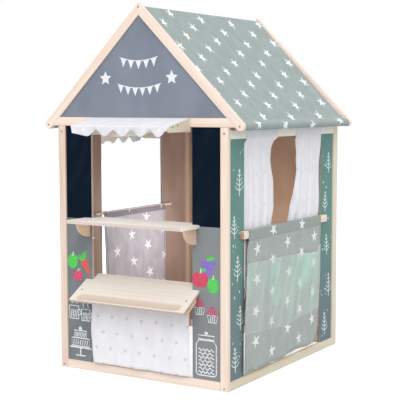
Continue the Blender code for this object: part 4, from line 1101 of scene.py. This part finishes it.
def screw_places():
    """Every screw's seat: its point on the surface and the direction that its head looks."""
    places = []
    apex = EAVE.z + EAVE.x * math.tan(ROOF_PITCH) + APEX_SCREW_RISE
    for node, corner, outward in (("front_rafter_left", 0, FORWARDS), ("back_rafter_left", 1, Y_AXIS)):
        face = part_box(node)[corner].y
        for x, z in ((-EAVE.x, EAVE.z), (EAVE.x, EAVE.z), (0.0, apex)):
            places.append(((x, face, z), outward))
    for label in ("left", "right"):
        low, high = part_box(f"front_post_{label}")
        for height in (high.z + CLOTH_GAP - SCREW_MARGIN, SCREW_MARGIN / 2):
            places.append((((low.x + high.x) / 2, low.y, height), FORWARDS))
    run = SLAT_REACH / math.cos(ARM_FALL) - SLAT_WIDTH / 2
    for wall in awning_walls():
        for side in (-1, 1):
            for back in (run + 0.3 * SLAT_WIDTH, run - 0.3 * SLAT_WIDTH):
                out = back * math.cos(ARM_FALL) - SLAT_HALF * math.sin(ARM_FALL)
                up = -back * math.sin(ARM_FALL) - SLAT_HALF * math.cos(ARM_FALL)
                spot = wall.points(side * (ARM_CENTRE + ARM_HALF), out, up)
                places.append((tuple(spot), tuple(side * wall.along)))
    reach = SHELF_DEPTH / 2
    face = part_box("front_panel_left")[0].y
    for side in (-1, 1):
        low, up = face - reach * math.cos(SHELF_TILT), SHELF_TOP - reach * math.sin(SHELF_TILT)
        places.append(((side * (SHELF_HALF - SCREW_MARGIN), low, up), SHELF_NORMAL))
    return places


def screws():
    """All the screws as one mesh, each sunk a little into its recess."""
    finish = plain("screw_metal", *paints((150, 142, 134), (120, 112, 106)), 0.004, 0.35, Metallic=0.85)
    source = screw_mesh(finish)
    gathered = bmesh.new()
    for point, outward in screw_places():
        outward = Vector(outward).normalized()
        copy = source.copy()
        copy.transform(seat(outward, Vector(point) - outward * SCREW_SET_IN))
        gathered.from_mesh(copy)
        bpy.data.meshes.remove(copy)
    mesh = new_mesh("screw_heads", [], [], finish)
    gathered.to_mesh(mesh)
    gathered.free()
    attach(add("screw_heads", mesh), ROOT)


def edge_cap():
    """A small pale cap on the left front board's edge, below the upper shelf."""
    profile = [(CAP_HALF, 0.0), (CAP_HALF, 0.0016), (CAP_HALF * 0.86, 0.0030), (CAP_HALF * 0.45, 0.0038)]
    white = plain("white_plastic", *paints((246, 246, 246), (238, 238, 238)), 0.003, 0.4)
    mesh = lathe("edge_cap", profile, 20, white)
    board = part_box("front_panel_left")[1]
    mesh.transform(seat(X_AXIS, Vector((board.x + 0.0002, board.y - 0.0050, CAP_HEIGHT))))
    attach(add("edge_cap", mesh), ROOT)


class Print:
    """Flat shapes on a face, in metres across and up from an origin, gathered into one thin mesh."""

    LIFT = 0.00012
    LAYER = 0.00003
    LAYERS = 24
    FILM = 0.00008

    def __init__(self, origin, across=X_AXIS):
        self.origin, self.across, self.up = Vector(origin), Vector(across), Vector(Z_AXIS)
        self.normal = self.across.cross(self.up)
        self.points, self.faces, self.inks = [], [], []
        self.ink = 0

    def polygon(self, outline):
        start = len(self.points)
        lift = self.LIFT + self.LAYER * (len(self.faces) % self.LAYERS)
        for across, up in outline:
            self.points.append(self.origin + self.across * across + self.up * up + self.normal * lift)
        self.faces.append(tuple(range(start, len(self.points))))
        self.inks.append(self.ink)

    def stroke(self, path, width):
        """A line of even width with blunt ends, drawn as one quad for each stretch."""
        path = [Vector(point) for point in path]
        sides = []
        for index, point in enumerate(path):
            ahead = path[min(index + 1, len(path) - 1)] - path[max(index - 1, 0)]
            side = Vector((-ahead.y, ahead.x)).normalized() * width / 2
            sides.append((point + side, point - side))
        for (left, right), (next_left, next_right) in zip(sides, sides[1:]):
            self.polygon([right, next_right, next_left, left])

    def loop(self, outline, width):
        self.stroke(list(outline) + [outline[0], outline[1]], width)

    def oval(self, x, y, half_width, half_height, turn=0.0, sides=20):
        angles = [TAU * side / sides for side in range(sides)]
        outline = [(half_width * math.cos(angle), half_height * math.sin(angle)) for angle in angles]
        self.polygon(placed(outline, x, y, 1.0, 1.0, turn))

    def star(self, x, y, radius, waist):
        outline = []
        for tip in range(10):
            reach = radius if tip % 2 == 0 else radius * waist
            angle = TAU * tip / 10 + math.pi / 2
            outline.append((x + reach * math.cos(angle), y + reach * math.sin(angle)))
        self.polygon(outline)

    def hatch(self, left, right, low, high, lines, width, slant=0.0):
        for line in range(lines):
            x = left + (right - left) * (line + 0.5) / lines
            self.stroke([(x - slant / 2, low), (x + slant / 2, high)], width)

    def build(self, name, materials):
        mesh = new_mesh(name, self.points, self.faces, *materials)
        mesh.polygons.foreach_set("material_index", self.inks)
        piece = add(name, mesh)
        film = piece.modifiers.new("film", "SOLIDIFY")
        film.thickness = self.FILM
        film.offset = 1.0
        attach(piece, ROOT)


def placed(points, x, y, width, height, turn=0.0):
    """Points scaled by a width and a height, turned, and moved to a place."""
    cos, sin = math.cos(turn), math.sin(turn)
    scaled = [(across * width, up * height) for across, up in points]
    return [(x + across * cos - up * sin, y + across * sin + up * cos) for across, up in scaled]


def bunting(art, left, right, height, sag, flags):
    """A hanging cord of small pennants."""

    def at(share):
        return left + (right - left) * share, height - sag * 4 * share * (1 - share)

    art.stroke([at(step / 24) for step in range(25)], 0.0030)
    width = (right - left) / flags
    for flag in range(flags):
        first, (middle_x, middle_y), last = (at((flag + share) / flags) for share in (0.12, 0.5, 0.88))
        art.polygon([first, (middle_x, middle_y - 0.92 * width), last])


GABLE_STARS = ((-0.153, 1.110), (0.139, 1.110))
GABLE_STAR_RADIUS = 0.027


def gable_print():
    """Two stars and two swags of pennants, printed in white on the gable."""
    art = Print((0.0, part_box("front_gable_panel")[0].y, 0.0))
    for x, y in GABLE_STARS:
        art.star(x, y, GABLE_STAR_RADIUS, 0.47)
    bunting(art, -0.088, 0.080, 1.186, 0.014, 5)
    bunting(art, -0.100, 0.094, 1.090, 0.016, 6)
    art.build("gable_print", [plain("white_print", *paints((238, 240, 244), (232, 234, 240)), 0.01, 0.6)])


def wave_line(left, right, height, swing, count):
    """A line of count waves, each drawn in eight steps."""
    shares = shares_of(count * 8)
    ups = height + swing * np.sin(TAU * count * shares)
    return np.stack([left + (right - left) * shares, ups], axis=1).tolist()


WHITE_INK, GREEN_INK, ORANGE_INK, PINK_INK, PURPLE_INK, RED_INK = range(6)
CHALKS = {
    "white": (240, 243, 246),
    "green": (70, 214, 74),
    "orange": (232, 84, 62),
    "pink": (226, 52, 104),
    "purple": (142, 100, 216),
    "red": (222, 42, 84),
}


def carrot(art, x, y, size, turn):
    """A fat tapering root with a feathery top."""
    half = [(-0.26, 0.42), (-0.30, 0.22), (-0.18, -0.20), (-0.04, -0.60)]
    outline = half + [(-across, up) for across, up in half[::-1]] + [(0.0, 0.50)]
    art.ink = ORANGE_INK
    art.polygon(placed(outline, x, y, size, size, turn))
    art.ink = GREEN_INK
    for lean in (-0.34, -0.12, 0.12, 0.34):
        leaf = [(lean * 0.3, 0.48), (lean * 0.8, 0.72), (lean * 1.3, 0.96)]
        art.stroke(placed(leaf, x, y, size, size, turn), size * 0.13)


def pear(art, x, y, size, ink):
    art.ink = ink
    outline = []
    for side in range(28):
        angle = TAU * side / 28
        up = math.sin(angle)
        reach = size * (0.46 + 0.10 * up**2 - 0.17 * max(0.0, up) ** 2)
        outline.append((x + reach * math.cos(angle), y + reach * up * (1.45 if up > 0 else 1.0)))
    art.polygon(outline)
    art.ink = WHITE_INK
    art.stroke(placed([(0.0, 0.42), (0.06, 0.72)], x, y, size, size), size * 0.08)


def apple(art, x, y, size, ink):
    art.ink = ink
    for side in (-1, 1):
        art.oval(x + side * size * 0.17, y, size * 0.33, size * 0.42, -side * 0.15)
    art.ink = GREEN_INK
    art.oval(x + size * 0.20, y + size * 0.52, size * 0.20, size * 0.09, 0.5)
    art.ink = WHITE_INK
    art.stroke(placed([(0.0, 0.34), (0.05, 0.62)], x, y, size, size), size * 0.07)


def grapes(art, x, y, size, ink):
    art.ink = ink
    for row, count in enumerate((4, 3, 2, 1)):
        for item in range(count):
            across, up = 0.24 * (item - (count - 1) / 2), 0.32 - 0.22 * row
            art.oval(x + size * across, y + size * up, size * 0.125, size * 0.125, sides=14)
    art.ink = GREEN_INK
    art.oval(x + size * 0.16, y + size * 0.56, size * 0.24, size * 0.11, 0.3)


def mug(art, x, y, width, height):
    art.ink = WHITE_INK
    half, rim = width / 2, width * 0.525
    art.loop([(x - half, y), (x + half, y), (x + rim, y + height), (x - rim, y + height)], 0.0044)
    art.stroke(arc((x + rim, y + height * 0.52), height * 0.22, 80, -80, 10).tolist(), 0.0040)
    art.hatch(x - half * 0.8, x + half * 0.8, y + height * 0.10, y + height * 0.72, 4, 0.0040, 0.004)
    for base in (x - 0.28 * width, x + 0.28 * width):
        steam = [(math.sin(1.1 * step), step) for step in range(8)]
        art.stroke(placed(steam, base, y + height * 1.16, 0.0024, 0.0024), 0.0032)


def cake(art, x, y, width, height):
    """A layered cake on a footed stand."""
    art.ink = WHITE_INK
    half = width / 2
    stand = y + height * 0.26
    art.stroke([(x - half, stand), (x + half, stand)], 0.0055)
    art.stroke([(x, stand), (x, y + 0.004)], 0.0065)
    art.stroke([(x - half * 0.45, y), (x + half * 0.45, y)], 0.0050)
    for low, high, share in ((0.31, 0.57, 0.80), (0.58, 0.82, 0.56)):
        side = half * share
        art.loop(placed([(-side, low), (side, low), (side, high), (-side, high)], x, y, 1.0, height), 0.0042)
        foot, top = y + height * (low + 0.04), y + height * (high - 0.05)
        art.hatch(x - side * 0.9, x + side * 0.9, foot, top, 7, 0.0040, 0.003)
    art.oval(x, y + height * 0.89, width * 0.08, width * 0.08)


def cupcake(art, x, y, size):
    art.ink = PINK_INK
    for level, half in enumerate((0.46, 0.32, 0.18)):
        up = y + size * (0.08 + 0.19 * level)
        art.stroke(wave_line(x - half * size, x + half * size, up, size * 0.04, 2), size * 0.10)
    art.ink = WHITE_INK
    art.loop(placed([(-0.26, -0.44), (0.26, -0.44), (0.38, 0.0), (-0.38, 0.0)], x, y, size, size), 0.0034)
    art.hatch(x - size * 0.208, x + size * 0.208, y - size * 0.38, y - size * 0.06, 3, 0.0032)


def jar(art, x, y, width, height):
    """A tall lidded jar of sweets, hatched with chalk."""
    art.ink = WHITE_INK
    half, corner = width / 2, 0.008
    body = [(x - half, y + corner), (x - half + corner, y), (x + half - corner, y), (x + half, y + corner)]
    body += placed([(0.5, 0.70), (0.36, 0.80), (-0.36, 0.80), (-0.5, 0.70)], x, y, width, height)
    art.loop(body, 0.0044)
    art.loop(placed([(-0.4, 0.82), (0.4, 0.82), (0.4, 0.91), (-0.4, 0.91)], x, y, width, height), 0.0042)
    art.oval(x, y + height * 0.965, width * 0.09, height * 0.035)
    for row in range(7):
        reach = half * (0.78 - 0.05 * (row % 2))
        level = y + height * (0.07 + 0.085 * row)
        art.stroke(wave_line(x - reach, x + reach, level, 0.0040, 4 - row % 2), 0.0042)


def chalk_drawings():
    """Our own chalk sketches on the grey lower halves of the front boards."""
    inks = [chalk("chalk_" + name, paint(*colour)) for name, colour in CHALKS.items()]
    face = (0.0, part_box("front_panel_left")[0].y, 0.0)
    left = Print(face)
    carrot(left, -0.254, 0.400, 0.056, 0.45)
    pear(left, -0.317, 0.416, 0.052, GREEN_INK)
    apple(left, -0.293, 0.362, 0.046, PINK_INK)
    mug(left, -0.313, 0.194, 0.042, 0.050)
    mug(left, -0.258, 0.190, 0.038, 0.044)
    cake(left, -0.284, 0.052, 0.104, 0.118)
    left.build("chalk_sketches_left", inks)
    right = Print(face)
    grapes(right, 0.290, 0.432, 0.068, PURPLE_INK)
    apple(right, 0.257, 0.392, 0.066, RED_INK)
    pear(right, 0.310, 0.376, 0.050, GREEN_INK)
    cupcake(right, 0.254, 0.292, 0.056)
    cupcake(right, 0.308, 0.268, 0.058)
    jar(right, 0.282, 0.048, 0.084, 0.160)
    right.build("chalk_sketches_right", inks)


def sprig(art, x, y, height, lean):
    """A stem with paired leaves that get shorter towards its tip."""
    art.stroke([(x, y), (x + lean * 0.5, y + height * 0.5), (x + lean, y + height)], 0.0048)
    for pair in range(5):
        share = 0.20 + 0.70 * pair / 4
        reach = height * 0.19 * (1.12 - share)
        for side in (-1, 1):
            leaf = placed([(0.0, 0.0), (side, 0.38), (side * 1.70, 1.0)], 0.0, 0.0, reach, reach)
            art.stroke(placed(leaf, x + lean * share, y + height * share, 1.0, 1.0), 0.0036)


SPRIG_LANE = 0.085
SPRIG_MARGIN = 0.026
SPRIG_HEIGHTS = (0.078, 0.100)
SPRIG_GAPS = (0.045, 0.085)
SPRIG_CLEAR = (0.024, 0.058)
GOLDEN_SHARE = 0.618
SPECKS_PER_METRE = 520
SPECK_RADII = (0.0016, 0.0022, 0.0030, 0.0040)


def side_prints():
    """White sprigs and specks scattered over the outer faces of the side boards."""
    white = plain("sprig_print", *paints((240, 250, 247), (226, 240, 236)), 0.006, 0.7)
    pale = plain("speck_print", *paints((190, 216, 210), (170, 202, 196)), 0.006, 0.7)
    chance = random.Random(11)
    for name in ("left_panel_front", "left_panel_back", "right_panel_front", "right_panel_back"):
        side, along = (-1, FORWARDS) if name.startswith("left") else (1, Y_AXIS)
        low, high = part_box(name)
        first, last = sorted((low.y * side, high.y * side))
        width = last - first
        art = Print((low.x if side < 0 else high.x, 0.0, 0.0), along)
        taken = []
        height = low.z + 0.025
        lanes = max(1, round(width / SPRIG_LANE))
        while height < high.z - 0.10:
            tall = chance.uniform(*SPRIG_HEIGHTS)
            share = (len(taken) * GOLDEN_SHARE + 0.35) % 1.0
            x = first + SPRIG_MARGIN + (width - 2 * SPRIG_MARGIN) * share
            sprig(art, x, height, tall, chance.uniform(-0.008, 0.008))
            taken.append((x, height + tall / 2))
            height += (tall + chance.uniform(*SPRIG_GAPS)) / lanes + 0.012
        for _ in range(int(width * SPECKS_PER_METRE)):
            x = chance.uniform(first + 0.006, last - 0.006)
            y = chance.uniform(low.z + 0.01, high.z - 0.01)
            radius = chance.choice(SPECK_RADII)
            if all(abs(x - tx) > SPRIG_CLEAR[0] or abs(y - ty) > SPRIG_CLEAR[1] for tx, ty in taken):
                art.ink = chance.choice((0, 1, 1))
                art.oval(x, y, radius, radius * 1.3, sides=10)
        art.build(name + "_print", [white, pale])


def camera():
    data = bpy.data.cameras.new("camera")
    data.lens = LENS
    data.sensor_width = SENSOR
    data.clip_end = CLIP_END
    made = add("camera", data)
    made.location = CAMERA_PLACE
    turn = Matrix.Rotation(CAMERA_YAW, 4, "Z") @ Matrix.Rotation(math.pi / 2 - CAMERA_DIP, 4, "X")
    made.rotation_euler = (turn @ Matrix.Rotation(CAMERA_ROLL, 4, "Z")).to_euler()
    bpy.context.scene.camera = made


def backdrop_ray(tree):
    """1 for a ray that should see the plain white backdrop: camera, mirror and glass rays."""
    path = tree.node("LightPath").outputs
    seen = tree.maths("MAXIMUM", path["Is Camera Ray"], path["Is Glossy Ray"])
    return tree.maths("MAXIMUM", seen, path["Is Transmission Ray"])


def light(name, kind, strength, **settings):
    data = bpy.data.lights.new(name, kind)
    data.energy = strength
    for key, setting in settings.items():
        setattr(data, key, setting)
    return add(name, data)


def stage():
    tree = surface("floor", 0.9, Base_Color=FLOOR_COLOUR, Specular_IOR_Level=0.0, Emission_Color=LIGHT_WHITE)
    glow = tree.maths("MULTIPLY", backdrop_ray(tree), FLOOR_GLOW)
    tree.feed(tree.shader.inputs["Emission Strength"], glow)
    corners = placed([(-1, -1), (1, -1), (1, 1), (-1, 1)], 0.0, 0.0, FLOOR_HALF, FLOOR_HALF)
    floor = add("floor", new_mesh("floor", [(x, y, 0.0) for x, y in corners], [(0, 1, 2, 3)], tree.owner))
    world = bpy.data.worlds.new("studio")
    bpy.context.scene.world = world
    sky = Tree(world, "Background", Color=LIGHT_WHITE)
    level = sky.node("MapRange", {"Value": backdrop_ray(sky), "To Min": SKY, "To Max": 1.0})
    sky.feed(sky.shader.inputs["Strength"], level.outputs[0])
    key = light("key", "SUN", KEY_STRENGTH, angle=KEY_SPREAD)
    key.rotation_euler = Vector(KEY_FROM).to_track_quat("Z", "Y").to_euler()
    fill = light("fill", "POINT", FILL_STRENGTH, shadow_soft_size=FILL_RADIUS)
    fill.location = FILL_PLACE
    fill.visible_camera = False
    fill.visible_glossy = False
    bpy.context.scene.view_settings.view_transform = "Standard"


dress_wood()
dress_boards()
roof_cloth()
FRONT_AWNING_WALL, LEFT_AWNING_WALL = awning_walls()
awning_cloth(FRONT_AWNING_WALL, "front", ("left", "right"))
awning_cloth(LEFT_AWNING_WALL, "left", ("front", "back"))
front_cloth()
left_cloth()
door_cloth()
curtains()
screws()
edge_cap()
gable_print()
chalk_drawings()
side_prints()
camera()
stage()
